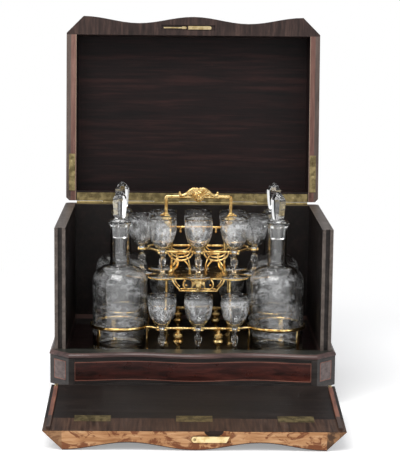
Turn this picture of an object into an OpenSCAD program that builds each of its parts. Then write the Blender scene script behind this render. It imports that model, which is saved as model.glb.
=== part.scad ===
/* [Case] */
// Width of the case across the side walls
case_w = 330; // [310:1:360]
// Depth of the side walls, from their front ends to the rear face
wall_d = 218; // [212:1:240]
// Thickness of the case walls
wall_t = 13; // [10:0.5:16]
// Height of the walls above the plinth
wall_h = 146; // [140:1:160]
// Height of the recessed foot under the plinth
foot_h = 25; // [24:1:32]
// Height of the plinth above the foot
plinth_h = 41; // [36:1:50]
// How far the plinth stands out in front of the case
plinth_over = 3; // [2:0.25:3.5]
// How much further the plinth stands out at the sides
plinth_side = 3; // [0:0.5:5]
// Thickness of the inside floor
floor_t = 4; // [3:0.5:6]
// How far the inside floor lies below the top of the plinth
well_depth = 13; // [10:1:14]
// Sideways size of the canted front corners
cant = 22; // [16:1:26]
// Depth of the waves in the serpentine front
wave = 8.6; // [4:0.2:10]
// Chamfer of the rear corners
rear_chamfer = 4; // [2:0.5:6]

/* [Front panel] */
// Thickness of the front panel at its corners
panel_t = 22; // [20:0.5:26]
// Angle from the closed panel to the fallen one
panel_open = 96; // [90:1:96]
// Setback of the panel's turning line from the front of the case
panel_turn_back = 6; // [5:0.5:7]
// Depth of the panel's turning line below the top of the plinth
panel_turn_drop = 40; // [39.5:0.5:42]
// Swing of the latch lever
lever_swing = 16; // [10:1:20]
// Width of the tongues on the panel
tongue_w = 4.4; // [3:0.2:5]
// How far the tongues stand out of the panel
tongue_out = 3; // [2:0.2:4]
// Length of the small plates on the panel
plate_l = 40; // [30:1:50]
// Width of the small plates on the panel
plate_w = 18; // [12:1:24]
// Length of the latch lever from its pivot
lever_l = 38; // [30:1:44]
// Width of the latch lever
lever_w = 7; // [5:0.5:8]
// Thickness of the latch lever
lever_t = 2; // [1.5:0.1:2.6]

/* [Lid] */
// Height of the lid's sides
lid_h = 52; // [50:1:60]
// Thickness of the lid's top
lid_top_t = 8; // [6:0.5:12]
// Depth of the lid's front rail at its corners
lid_front_t = 24; // [22:0.5:28]
// Angle from the closed lid to the open one
lid_open = 95.25; // [90:0.25:98]
// Width of the strip hinge leaves
leaf_w = 10.5; // [8:0.5:12]
// Thickness of the strip hinge leaves
leaf_t = 1; // [0.8:0.1:1.2]
// Gap between each end of the strip hinge and the rims beside it
hinge_end_gap = 1; // [0.6:0.1:3]
// Radius of the hinge knuckles
knuckle_r = 2; // [1.8:0.1:2.4]
// Radius of the hinge pin
hinge_pin_r = 0.9; // [0.7:0.05:1.1]
// Number of knuckles along the hinge
knuckles = 9; // [5:2:15]

/* [Caddy] */
// Sideways place of the caddy in the case
caddy_x = 6.5; // [0:0.5:8]
// Thickness of the caddy's trays
tray_t = 1.6; // [1.2:0.1:2.5]
// Height of the upper tray above the lower one
tray_gap = 87; // [84:1:90]
// Height of the glass clips above each tray
clip_h = 28.4; // [27:0.2:29]
// Width of the ring bands
ring_band = 4; // [3:0.5:6]
// Thickness of the ring bands
ring_t = 2; // [1.5:0.1:2.5]
// Radius of the gilt wires
wire_r = 1.5; // [1.2:0.1:1.8]
// Half the distance between the handle posts
handle_half = 40; // [39:0.1:41]
// Height of the handle above the upper tray
handle_h = 95; // [92:1:100]

/* [Glassware] */
// Radius of the decanter body
decanter_r = 33; // [30:0.5:34]
// Height of the decanter to its lip
decanter_h = 157; // [150:1:160]
// Height of the straight part of the decanter body
decanter_side = 84; // [76:1:90]
// Outer radius of the decanter neck
neck_r = 12.5; // [11:0.25:13]
// Thickness of the decanter wall
decanter_wall = 2.8; // [2.2:0.1:3.4]
// Height of the shoulder of the decanter
shoulder_h = 20; // [14:1:26]
// Height of the stopper's faceted head
stopper_head = 38; // [30:1:40]
// Length of the stopper's ground plug
plug_l = 20; // [14:1:26]
// Height of a liqueur glass
glass_h = 73; // [68:0.5:75]
// Radius of a glass bowl
bowl_r = 17.3; // [15:0.1:17.6]
// Radius of a glass foot
glass_foot_r = 15.5; // [13:0.1:16]
// Height at which the bowl starts
bowl_z = 32.5; // [32:0.5:34]
// Thickness of the bowl wall
bowl_wall = 1.2; // [0.8:0.1:1.6]
// Sideways spacing of the glasses in a row
glass_pitch = 44; // [42:0.5:45]
// Half the distance between the upper rows
upper_row = 31; // [30:0.5:32]
// Half the distance between the lower rows
lower_row = 75; // [74:0.5:76]
// Sideways place of the two side glasses
side_glass_x = 70; // [69:0.5:71]
// Sideways place of the decanters
decanter_x = 96; // [95:0.5:98]
// Half the distance between the front and rear decanters
decanter_y = 45; // [44.5:0.5:46]

/* [Hidden] */
$fn = 48;
joint_gap = 0.4;
slide_gap = 0.3;
pin_gap = 0.05;
rim_gap = 0.5;
half_w = case_w / 2;
total_d = wall_d + panel_t;
front_y = -total_d / 2;
wall_front_y = front_y + panel_t;
rear_y = total_d / 2;
land_z = foot_h + plinth_h;
rim_z = land_z + wall_h;
in_x = half_w - wall_t;
in_rear_y = rear_y - wall_t;
floor_z = land_z - well_depth;
well_front_y = wall_front_y + 2;

// Front panel, in its closed place
panel_face_y = wall_front_y - joint_gap;
panel_z0 = land_z + 1.2;
panel_turn_z = land_z - panel_turn_drop;
panel_z1 = rim_z - 0.6;
panel_turn_y = front_y + panel_turn_back;
tongue_x = half_w - wall_t / 2;
groove_w = tongue_w + 2 * slide_gap;
groove_d = tongue_out + joint_gap + slide_gap;
plate_z = panel_z1 - 38;
plate_x = 112;
plate_t = 0.8;
lever_pocket = lever_t + 0.4;
lever_y = front_y + panel_t * 0.55;
lever_pivot_r = 1.6;
pin_r = 2;

// Lid, in its closed place
lid_z0 = rim_z + rim_gap;
lid_z1 = lid_z0 + lid_h;
lid_in_front_y = front_y + lid_front_t;
hinge_y = rear_y + knuckle_r + 0.2;
hinge_z = rim_z + rim_gap / 2;
hinge_l = 2 * (in_x - hinge_end_gap);
knuckle_l = hinge_l / knuckles;
strike_l = 70;
strike_w = 7;
strike_d = 3;
corner_plate_l = 48;
corner_plate_w = 8;

// Caddy
clip_r = 5;
caddy_y = (wall_front_y + in_rear_y) / 2;
tray_z = floor_z;
stand_z = tray_z + tray_t;
upper_z = tray_z + tray_gap;
upper_stand_z = upper_z + tray_t;
lower_clip_z = stand_z + clip_h;
upper_clip_z = upper_stand_z + clip_h;
ring_z = lower_clip_z - 0.5;
ring_in_r = decanter_r + 1.2;
ring_out_r = ring_in_r + ring_t;
bar_gap = clip_r + wire_r + 0.4;
lower_bar = lower_row - bar_gap;
upper_bar = upper_row - bar_gap;
side_bar = side_glass_x - bar_gap;
rear_bar = lower_row - glass_foot_r - wire_r - 1;
foot_x = 24.4;
tower_x = glass_pitch - 5;
foot_clear = 0.6;
strut_r = wire_r - 0.3;
strut_x = sqrt(pow(glass_foot_r + strut_r + foot_clear, 2) - pow(bar_gap, 2));
arm_x = 33;
handle_top = upper_stand_z + handle_h;
decanter_spots = [for (y = [-1, 1], x = [-1, 1]) [x * decanter_x, y * decanter_y]];
upper_spots = concat(
    [for (x = [-1:1]) [x * glass_pitch, -upper_row]],
    [[-side_glass_x, 0], [side_glass_x, 0]],
    [for (x = [-1:1]) [x * glass_pitch, upper_row]]);
lower_spots = [for (y = [-1, 1], x = [-1:1]) [x * glass_pitch, y * lower_row]];

// Plan of the case, grown by o all round: rear chamfers, straight sides, canted corners and waved front
wave_half = half_w - cant;
wave_steps = 28;
lean = tan(22.5);
function wave_at(x) = wave * (1 - cos(360 * x / wave_half)) / 2;
function front_points(o, e) = [for (i = [0:wave_steps])
    let (x = -wave_half + 2 * wave_half * i / wave_steps, end = i == 0 ? -1 : i == wave_steps ? 1 : 0)
    [x + end * (lean * o + e), front_y + wave_at(x) - o]];
function plan_points(o, e) = concat(
    front_points(o, e),
    [[half_w + o + e, front_y + cant - lean * o],
     [half_w + o + e, rear_y - rear_chamfer + lean * o],
     [half_w - rear_chamfer + lean * o + e, rear_y + o],
     [-half_w + rear_chamfer - lean * o - e, rear_y + o],
     [-half_w - o - e, rear_y - rear_chamfer + lean * o],
     [-half_w - o - e, front_y + cant - lean * o]]);

module plan(o = 0, e = 0) {
    polygon(plan_points(o, e));
}

// A moulding that follows the plan, through rings given as [growth, height]
module plan_loft(rings, e = 0) {
    n = len(plan_points(0, 0));
    m = len(rings);
    points = [for (r = rings) for (p = plan_points(r[0], e)) [p[0], p[1], r[1]]];
    sides = [for (k = [0:m - 2]) for (i = [0:n - 1])
        for (f = [[k * n + i, k * n + (i + 1) % n, (k + 1) * n + (i + 1) % n],
                  [k * n + i, (k + 1) * n + (i + 1) % n, (k + 1) * n + i]]) [f[2], f[1], f[0]]];
    // the end faces start at a rear corner, from which the whole waved front can be seen
    first = n - 4;
    bottom = [[for (i = [0:n - 1]) (first + i) % n]];
    top = [[for (i = [n:-1:1]) (m - 1) * n + (first + i) % n]];
    polyhedron(points, concat(sides, bottom, top));
}

// Quarter-round rings from the outside up and in
function round_rings(o, z, r, n = 4) = [for (i = [0:n]) [o - r + r * cos(90 * i / n), z + r * sin(90 * i / n)]];

module well(z0) {
    translate([-in_x, well_front_y, z0]) cube([2 * in_x, in_rear_y - well_front_y, rim_z]);
}

module base_board() {
    color("black") linear_extrude(foot_h) plan(-6, 0);
}

bead_h = 6;
module plinth() {
    block_w = cant + 3;
    recess = 1.5;
    color("dimgray") difference() {
        translate([0, 0, foot_h]) linear_extrude(plinth_h - bead_h) plan(plinth_over - 0.8, plinth_side);
        well(floor_z - floor_t);
        intersection() {
            translate([-half_w + block_w, front_y - 2 * plinth_over, foot_h + 4])
                cube([2 * (half_w - block_w), 4 * plinth_over + wave, plinth_h - bead_h - 5]);
            translate([0, 0, foot_h]) linear_extrude(plinth_h) difference() {
                plan(plinth_over + 1, plinth_side);
                plan(plinth_over - 0.8 - recess, plinth_side);
            }
        }
    }
}

module plinth_bead() {
    bead_r = 4.5;
    color("sienna") difference() {
        plan_loft(concat([[plinth_over - 1.5, land_z - bead_h], [plinth_over, land_z - bead_h + 0.8]],
            round_rings(plinth_over, land_z - bead_r, bead_r)), plinth_side);
        well(floor_z);
    }
}

module floor_board() {
    color("saddlebrown") translate([-in_x + slide_gap, well_front_y + slide_gap, floor_z - floor_t])
        cube([2 * (in_x - slide_gap), in_rear_y - well_front_y - 2 * slide_gap, floor_t]);
}

// Right side wall: a board with a grooved front end, a chamfered rear edge and a flared foot
module side_wall() {
    flare = 3;
    flare_h = 7;
    difference() {
        union() {
            translate([in_x, wall_front_y, land_z]) cube([wall_t, wall_d, wall_h]);
            translate([half_w, rear_y - rear_chamfer, land_z]) rotate([90, 0, 0])
                linear_extrude(wall_d - rear_chamfer)
                polygon(concat([[-1, 0], [flare, 0]],
                    [for (a = [0:15:90]) [flare * (1 - sin(a)), 1 + (flare_h - 1) * (1 - cos(a))]], [[-1, flare_h]]));
        }
        translate([tongue_x - groove_w / 2, wall_front_y - 1, land_z - 1])
            cube([groove_w, groove_d + 1, wall_h + 2]);
        translate([half_w - rear_chamfer, rear_y, land_z - 1]) rotate(-45)
            translate([0, 0, 0]) cube([3 * rear_chamfer, 3 * rear_chamfer, wall_h + 2]);
    }
}

module left_wall() {
    color("dimgray") mirror([1, 0, 0]) side_wall();
}

module right_wall() {
    color("dimgray") side_wall();
}

module rear_wall() {
    color("dimgray") difference() {
        translate([-in_x, in_rear_y, land_z]) cube([2 * in_x, wall_t, wall_h]);
        translate([-hinge_l / 2 - slide_gap, rear_y - leaf_w - slide_gap, rim_z - leaf_t])
            cube([hinge_l + 2 * slide_gap, leaf_w + 1, leaf_t + 1]);
    }
}

// Everything on the front panel is placed closed and then turned down about the panel's turning line
module fallen() {
    translate([0, panel_turn_y, panel_turn_z]) rotate([panel_open, 0, 0])
        translate([0, -panel_turn_y, -panel_turn_z]) children();
}

// Room in the panel's edge for the swing of the latch lever
module lever_room() {
    far = lever_l + 1.5;
    side = lever_w / 2 + 0.7;
    sweep = lever_swing + 2;
    c = cos(sweep);
    d = sin(sweep);
    heel_steps = 7;
    heel = [for (i = [0:heel_steps]) let (a = 90 + sweep + i * (180 - sweep) / heel_steps) [side * cos(a), side * sin(a)]];
    polygon(concat([[far, -side], [far, side], [far * c - side * d, far * d + side * c]], heel));
}

module front_panel() {
    color("burlywood") fallen() difference() {
        intersection() {
            translate([0, 0, panel_z0]) linear_extrude(panel_z1 - panel_z0) plan(0);
            translate([-half_w - 1, front_y - 1, 0]) cube([case_w + 2, panel_face_y - front_y + 1, 2 * rim_z]);
        }
        for (i = [-1:1]) translate([i * plate_x - plate_l / 2, panel_face_y - plate_t, plate_z - plate_w / 2])
            cube([plate_l, 2, plate_w]);
        translate([0, lever_y, panel_z1 - lever_pocket]) linear_extrude(lever_pocket + 1) lever_room();
        translate([0, lever_y, panel_z1 - 14]) cylinder(h = 20, r = lever_pivot_r + pin_gap);
    }
}

module panel_tongues() {
    gap_z = 12;
    color("sienna") fallen() for (s = [-1, 1])
        translate([s * tongue_x - tongue_w / 2, panel_face_y, panel_z0 + gap_z])
            cube([tongue_w, tongue_out, panel_z1 - panel_z0 - gap_z - 6]);
}

module panel_plates() {
    color("olive") fallen() for (i = [-1:1])
        translate([i * plate_x - plate_l / 2, panel_face_y - plate_t, plate_z - plate_w / 2]) difference() {
            cube([plate_l, plate_t, plate_w]);
            translate([plate_l / 2, -1, plate_w / 2]) rotate([-90, 0, 0]) cylinder(h = 3, r = 1.5);
        }
}

module panel_pins() {
    color("gold") fallen() for (s = [-1, 1])
        translate([s * tongue_x, panel_face_y, panel_z0 + 6]) rotate([-90, 0, 0])
            cylinder(h = tongue_out - 0.4, r = pin_r);
}

module latch_lever() {
    color("gold") fallen() translate([0, lever_y, panel_z1 - lever_pocket + 0.1]) difference() {
        linear_extrude(lever_t) union() {
            circle(lever_w / 2);
            polygon([[0, -lever_w / 2], [lever_l - lever_w / 2, -lever_w / 2], [lever_l, lever_w / 2], [0, lever_w / 2]]);
        }
        translate([0, 0, -1]) cylinder(h = lever_t + 2, r = lever_pivot_r + pin_gap);
    }
}

module lever_screw() {
    color("darkgoldenrod") fallen() translate([0, lever_y, panel_z1 - 13]) {
        cylinder(h = 12.8, r = lever_pivot_r);
    }
}

// Everything on the lid is placed closed and then turned up about the hinge pin
module opened() {
    translate([0, hinge_y, hinge_z]) rotate([-lid_open, 0, 0]) translate([0, -hinge_y, -hinge_z]) children();
}

module lid_top() {
    over = 2.5;
    color("black") opened() plan_loft(concat(
        [[0, lid_z1], [over, lid_z1 + 1.5]],
        round_rings(over, lid_z1 + lid_top_t - 4, 4)));
}

// Part of the lid's rim between two heights, cut to a box
module rim_part(x0, x1, y0, y1) {
    intersection() {
        translate([0, 0, lid_z0]) linear_extrude(lid_h) plan(0);
        translate([x0, y0, 0]) cube([x1 - x0, y1 - y0, 3 * rim_z]);
    }
}

module lid_sides() {
    color("dimgray") opened() for (s = [-1, 1]) difference() {
        if (s > 0) rim_part(in_x, half_w + 1, lid_in_front_y, rear_y + 1);
        else rim_part(-half_w - 1, -in_x, lid_in_front_y, rear_y + 1);
        translate([s * (in_x + wall_t / 2 - 1) - corner_plate_w / 2 - 0.1, in_rear_y - corner_plate_l, lid_z0 - 1])
            cube([corner_plate_w + 0.2, corner_plate_l + 8, leaf_t + 1]);
    }
}

module lid_rear() {
    color("dimgray") opened() difference() {
        rim_part(-in_x, in_x, in_rear_y, rear_y + 1);
        translate([-hinge_l / 2 - slide_gap, rear_y - leaf_w - slide_gap, lid_z0 - 1])
            cube([hinge_l + 2 * slide_gap, leaf_w + 2, leaf_t + 1]);
    }
}

strike_x = -7;
strike_y = front_y + 14;
module lid_front() {
    color("dimgray") opened() difference() {
        rim_part(-half_w - 1, half_w + 1, front_y - 1, lid_in_front_y);
        translate([strike_x - strike_l / 2, strike_y - strike_w / 2, lid_z0 - 1])
            cube([strike_l, strike_w, strike_d + 1]);
    }
}

module lid_strike() {
    color("darkgoldenrod") opened() translate([strike_x, strike_y, lid_z0 + 0.4]) union() {
        translate([-strike_l / 2 + 3, -0.8, strike_d - 1.4]) cube([30, 1.6, 1]);
        translate([-8, -1.6, 0]) cube([5, 3.2, strike_d - 0.4]);
        translate([0, -2.2, 0]) cube([28, 4.4, strike_d - 0.4]);
        translate([28, 0, 0]) cylinder(h = strike_d - 0.4, r = 2.2);
    }
}

module lid_corner_plates() {
    color("olive") opened() for (s = [-1, 1])
        translate([s * (in_x + wall_t / 2 - 1), in_rear_y - corner_plate_l / 2, lid_z0]) difference() {
            translate([-corner_plate_w / 2, -corner_plate_l / 2, 0]) cube([corner_plate_w, corner_plate_l, leaf_t]);
            for (y = [-14, 4]) translate([0, y, -1]) cylinder(h = 3, r = 1.4);
        }
}

// One set of knuckles with its leaf: the even ones carry the case leaf, the odd ones the lid leaf
module knuckle_row(first) {
    for (i = [first:2:knuckles - 1])
        translate([-hinge_l / 2 + i * knuckle_l + 0.15, hinge_y, hinge_z]) rotate([0, 90, 0])
            cylinder(h = knuckle_l - 0.3, r = knuckle_r);
}

module hinge_bore() {
    translate([-hinge_l / 2 - 1, hinge_y, hinge_z]) rotate([0, 90, 0])
        cylinder(h = hinge_l + 2, r = hinge_pin_r + pin_gap);
}

// The leaf stops short of the other leaf's knuckles
module leaf(first, z) {
    difference() {
        union() {
            translate([-hinge_l / 2, rear_y - leaf_w, z]) cube([hinge_l, leaf_w, leaf_t]);
            for (i = [first:2:knuckles - 1])
                translate([-hinge_l / 2 + i * knuckle_l + 0.15, rear_y - 1, z])
                    cube([knuckle_l - 0.3, hinge_y - rear_y + 1, leaf_t]);
            knuckle_row(first);
        }
        hinge_bore();
    }
}

module hinge_lid_leaf() {
    color("olive") opened() leaf(1, lid_z0);
}

module hinge_body_leaf() {
    color("olive") leaf(0, rim_z - leaf_t);
}

module hinge_pin() {
    color("darkgoldenrod") translate([-hinge_l / 2, hinge_y, hinge_z]) rotate([0, 90, 0])
        cylinder(h = hinge_l, r = hinge_pin_r);
}

module caddy_place() {
    translate([caddy_x, caddy_y, 0]) children();
}

module lower_tray() {
    color("gold") caddy_place() translate([0, 0, tray_z]) linear_extrude(tray_t) union() {
        for (p = decanter_spots) translate(p) circle(ring_out_r + 1);
        for (p = lower_spots) translate(p) circle(glass_foot_r + 1.7);
        square([2 * decanter_x - 30, 2 * decanter_y + 24], center = true);
        square([2 * glass_pitch, 2 * lower_row], center = true);
    }
}

// A decanter ring on three legs, one of them at its outer corner
module decanter_ring(p) {
    a0 = atan2(p[1] > 0 ? 1 : -1, p[0] > 0 ? 1 : -1);
    color("gold") caddy_place() translate([p[0], p[1], 0]) union() {
        translate([0, 0, ring_z]) rotate_extrude()
            translate([ring_in_r, 0]) square([ring_t, ring_band]);
        for (a = [0, 120, 240]) rotate(a0 + a) translate([ring_in_r + ring_t / 2, 0, stand_z])
            cylinder(h = ring_z - stand_z + 1, r = ring_t / 2 - 0.15);
    }
}

module ring_front_left() { decanter_ring(decanter_spots[0]); }
module ring_front_right() { decanter_ring(decanter_spots[1]); }
module ring_rear_left() { decanter_ring(decanter_spots[2]); }
module ring_rear_right() { decanter_ring(decanter_spots[3]); }

// A level round rod between two plan points
module rod(a, b, r) {
    d = b - a;
    translate([a[0], a[1], 0]) rotate([0, 0, atan2(d[1], d[0])]) rotate([0, 90, 0]) cylinder(h = norm(d), r = r);
}

// A hook that goes half round a stem; its mouth looks along -Y
module clip(p, turn) {
    translate([p[0], p[1], -1.2]) rotate(turn) difference() {
        cylinder(h = 2.4, r = clip_r + 1.7);
        translate([0, 0, -1]) cylinder(h = 5, r = clip_r);
        translate([-10, -10, -1]) cube([20, 9, 5]);
    }
}

// Where a rail meets a decanter ring
function ring_meet(p, q) = p + (q - p) / norm(q - p) * (ring_out_r + 0.1);

module rail(y, clips) {
    end = tower_x + 10;
    union() {
        rod([-end, y], [end, y], wire_r);
        for (s = [-1, 1]) {
            corner = [s * end, y];
            translate([s * end, y, -2.2]) cylinder(h = 4.4, r = wire_r + 0.9);
            rod(corner, ring_meet([s * decanter_x, (y > 0 ? 1 : -1) * decanter_y], corner), wire_r - 0.2);
        }
        if (clips) for (x = [-1:1]) clip([x * glass_pitch, -lower_row], 0);
    }
}

module front_rail() {
    color("gold") caddy_place() translate([0, 0, lower_clip_z + 1.5]) rail(-lower_bar, true);
}

module rear_rail() {
    color("gold") caddy_place() translate([0, 0, lower_clip_z + 1.5]) rail(rear_bar, false);
}

// Turned feet that carry the two rails
module rail_feet() {
    h = lower_clip_z - stand_z - 0.1;
    color("gold") caddy_place() for (x = [-1, 1], y = [-lower_bar, rear_bar])
        translate([x * foot_x, y, stand_z]) rotate_extrude()
            polygon([[0, 0], [4, 0], [4, 2], [2.4, 4], [2.4, 9], [5.6, 11.5], [6.4, 14], [5.6, 16.5], [4, 17.5],
                [4, 18.5], [6.4, 20], [6.4, 22.5], [4.6, 24], [3, 25], [3, h], [0, h]]);
}

// Four plain posts behind the glasses, from the lower tray to the upper one
module tower_posts() {
    h = upper_z - stand_z;
    color("gold") caddy_place() for (x = [-1, 1], y = [-1, 1])
        translate([x * tower_x, y * upper_bar, stand_z]) rotate_extrude()
            polygon([[0, 0], [4, 0], [4, 2], [2, 4], [2, h / 2 - 3], [3, h / 2 - 1.5], [3, h / 2 + 1.5], [2, h / 2 + 3],
                [2, h - 5], [3.4, h - 2], [3.4, h], [0, h]]);
}

module upper_tray() {
    color("gold") caddy_place() translate([0, 0, upper_z]) linear_extrude(tray_t) union() {
        for (p = upper_spots) translate(p) circle(glass_foot_r + 1.7);
        square([2 * glass_pitch, 2 * upper_row + 20], center = true);
        square([2 * side_glass_x, 20], center = true);
    }
}

// Pierced apron under the front and rear edges of the upper tray
module tray_apron() {
    drop = 15;
    plate = 1.8;
    edge = upper_row + 12;
    color("gold") caddy_place() for (s = [-1, 1])
        translate([0, s * edge + plate / 2, upper_z - drop]) rotate([90, 0, 0]) linear_extrude(plate) union() {
            translate([-24, 0]) square([48, 2.6]);
            polygon([[-3, 1], [3, 1], [5.5, drop], [-5.5, drop]]);
            for (m = [-1, 1]) {
                polygon([[m * 24, 0], [m * 32, drop], [m * 28, drop], [m * 20, 1]]);
                translate([m * 12, drop / 2]) difference() {
                    circle(drop / 2 - 0.3);
                    circle(4.6);
                }
            }
        }
}

// Rail round the upper stems: hooks at every glass, struts down to the tray and drops between the glasses
module upper_gallery() {
    end = tower_x + 6;
    strut_h = upper_clip_z + 1.5 - upper_stand_z;
    drop_r = 15;
    color("gold") caddy_place() translate([0, 0, upper_clip_z + 1.5]) union() {
        for (s = [-1, 1]) {
            rod([-end, s * upper_bar], [end, s * upper_bar], wire_r);
            rod([s * side_bar, -8], [s * side_bar, 8], wire_r);
            clip([s * side_glass_x, 0], s > 0 ? 90 : -90);
            for (x = [-1:1]) clip([x * glass_pitch, s * upper_row], s > 0 ? 180 : 0);
            for (t = [-1, 1]) {
                translate([s * end, t * upper_bar, -2.2]) cylinder(h = 4.4, r = wire_r + 0.9);
                translate([s * side_bar, t * 8, -2.2]) cylinder(h = 4.4, r = wire_r + 0.9);
                rod([s * end, t * upper_bar], [s * side_bar, t * 8], wire_r - 0.2);
                translate([s * strut_x, t * upper_bar, -strut_h]) cylinder(h = strut_h, r = strut_r);
                translate([s * glass_pitch / 2, t * upper_bar, drop_r / 3]) rotate([90, 0, 0]) difference() {
                    rotate_extrude() translate([drop_r, 0]) circle(1.1, $fn = 20);
                    translate([-2 * drop_r, -drop_r / 3, -3]) cube([4 * drop_r, 2 * drop_r, 6]);
                }
            }
        }
    }
}

// Arch that stands on the upper tray and carries the handle
handle_z = handle_top - 4;
arch_drop = 38;
arch_z = handle_top - arch_drop;
module handle_arch() {
    color("gold") caddy_place() union() {
        translate([0, 0, arch_z]) rod([-arm_x, 0], [arm_x, 0], 1.6);
        for (s = [-1, 1]) {
            translate([s * arm_x, 0, arch_z - 3]) cylinder(h = 5.6, r = 2.7);
            translate([s * arm_x, 0, upper_stand_z]) cylinder(h = arch_z - upper_stand_z - 2, r = 1.8);
            translate([s * arm_x, 0, upper_stand_z]) cylinder(h = 1.5, r = 4);
        }
        for (x = [-1:1]) translate([x * 22, 0, arch_z - 6]) rotate_extrude()
            polygon([[0, -2], [1.7, 0], [2.1, 2], [0.9, 4], [0.9, 6], [0, 6]]);
    }
}

// Handle: leaf scrolls from the arch out to two short posts, and a bar between them
module handle() {
    leaf_r = 14;
    leaf_z = arch_z + 3.2;
    color("gold") caddy_place() union() {
        rod_z = handle_top;
        translate([0, 0, rod_z]) rod([-handle_half + 4, 0], [handle_half - 4, 0], 2.1);
        for (s = [-1, 1]) {
            translate([s * (handle_half - 4), 0, rod_z - 4]) rotate([90, 0, 0]) rotate([0, 0, s > 0 ? 0 : 90])
                rotate_extrude(angle = 90) translate([4, 0]) circle(2.1, $fn = 24);
            translate([s * handle_half, 0, leaf_z + leaf_r - 3]) cylinder(h = rod_z - 4 - leaf_z - leaf_r + 3, r = 2.1);
            translate([s * (arm_x + leaf_r), 0, leaf_z]) rotate([90, 0, 0]) rotate([0, 0, s > 0 ? 105 : 0])
                rotate_extrude(angle = 75) translate([leaf_r, 0]) circle(2.3, $fn = 24);
            translate([s * (handle_half + 4.2), 2, leaf_z + leaf_r - 3.4]) rotate([90, 0, 0]) cylinder(h = 4, r = 3.3);
        }
    }
}

// Rosette and leaf crest on the middle of the handle
module handle_ornament() {
    leaf_n = 4;
    color("gold") caddy_place() translate([0, 0, handle_top + 2]) difference() {
        union() {
            translate([0, 3, 0]) rotate([90, 0, 0]) cylinder(h = 6, r = 6.6);
            translate([0, 4, 0]) rotate([90, 0, 0]) cylinder(h = 8, r = 3);
            for (s = [-1, 1], i = [1:leaf_n])
                translate([s * (3 + i * 4), 0, 4.4 - i * 0.7]) rotate([90, 0, 0])
                    translate([0, 0, -2.4 + i * 0.15]) cylinder(h = 4.8 - i * 0.3, r = 5.2 - i * 0.7);
        }
        translate([0, 0, -2]) rod([-30, 0], [30, 0], 2.15);
    }
}

// Decanter outline from the middle of its base: straight side, domed shoulder and neck
function dome(r0, r1, z0, z1, n = 7) = [for (i = [0:n])
    let (a = 90 * i / n) [r1 + (r0 - r1) * cos(a), z0 + (z1 - z0) * sin(a)]];

lip_r = neck_r + 1.6;
bore_r = neck_r - decanter_wall;
module decanter(i) {
    p = decanter_spots[i];
    neck_z = decanter_side + shoulder_h;
    in_r = decanter_r - decanter_wall;
    color("gainsboro", 0.5) caddy_place() translate([p[0], p[1], stand_z]) rotate_extrude() difference() {
        polygon(concat([[0, 0], [decanter_r - 3, 0], [decanter_r, 3]],
            dome(decanter_r, neck_r, decanter_side, neck_z),
            [[neck_r, decanter_h - 4], [lip_r, decanter_h - 3], [lip_r, decanter_h], [0, decanter_h]]));
        polygon(concat([[0, 5], [in_r - 2, 5], [in_r, 7]],
            dome(in_r, bore_r, decanter_side, neck_z - decanter_wall),
            [[bore_r, decanter_h + 1], [0, decanter_h + 1]]));
    }
}

// Stopper: ground plug, flange that sits on the lip, and a six-sided spire
module stopper(i) {
    p = decanter_spots[i];
    head = stopper_head - 3;
    color("gainsboro", 0.5) caddy_place() translate([p[0], p[1], stand_z + decanter_h]) union() {
        rotate_extrude() polygon([[0, -plug_l], [bore_r - slide_gap - 1, -plug_l],
            [bore_r - slide_gap, -plug_l + 1], [bore_r - slide_gap, 0], [neck_r, 0], [neck_r, 1.8], [5, 3.2], [0, 3.2]]);
        translate([0, 0, 3]) cylinder(h = head * 0.14, r1 = 5.4, r2 = 7.6, $fn = 6);
        translate([0, 0, 3 + head * 0.14]) cylinder(h = head * 0.56, r1 = 7.6, r2 = 9.1, $fn = 6);
        translate([0, 0, 3 + head * 0.7]) cylinder(h = head * 0.3, r1 = 9.1, r2 = 0.9, $fn = 6);
    }
}

// Bowl outline between two heights, widest a little below the rim
bowl_turn = 106;
function bowl_arc(r, z0, z1, a0, n = 8) = [for (i = [0:n])
    let (a = a0 + (bowl_turn - a0) * i / n)
    [r * sin(a), z0 + (z1 - z0) * (1 - cos(a)) / (1 - cos(bowl_turn))]];

// Liqueur glass: flat foot, baluster stem with a knop, and an egg-shaped bowl
module glass(p, z) {
    color("gainsboro", 0.5) caddy_place() translate([p[0], p[1], z]) rotate_extrude() difference() {
        polygon(concat([[0, 0], [glass_foot_r, 0], [glass_foot_r, 1], [6, 2.6], [2.4, 6], [2.1, 10],
            [3, 14], [4.6, 19], [4.4, 21], [2.4, 24], [2.2, bowl_z - 2.5], [3.2, bowl_z - 1]],
            bowl_arc(bowl_r, bowl_z, glass_h, 14), [[0, glass_h]]));
        polygon(concat([[0, bowl_z + 2.4]],
            bowl_arc(bowl_r - bowl_wall, bowl_z + 2.4, glass_h, 10), [[0, glass_h + 0.01]]));
    }
}

module decanter_1() { decanter(0); }
module decanter_2() { decanter(1); }
module decanter_3() { decanter(2); }
module decanter_4() { decanter(3); }
module stopper_1() { stopper(0); }
module stopper_2() { stopper(1); }
module stopper_3() { stopper(2); }
module stopper_4() { stopper(3); }
module lower_glass(i) { glass(lower_spots[i], stand_z); }
module upper_glass(i) { glass(upper_spots[i], upper_stand_z); }

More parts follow.
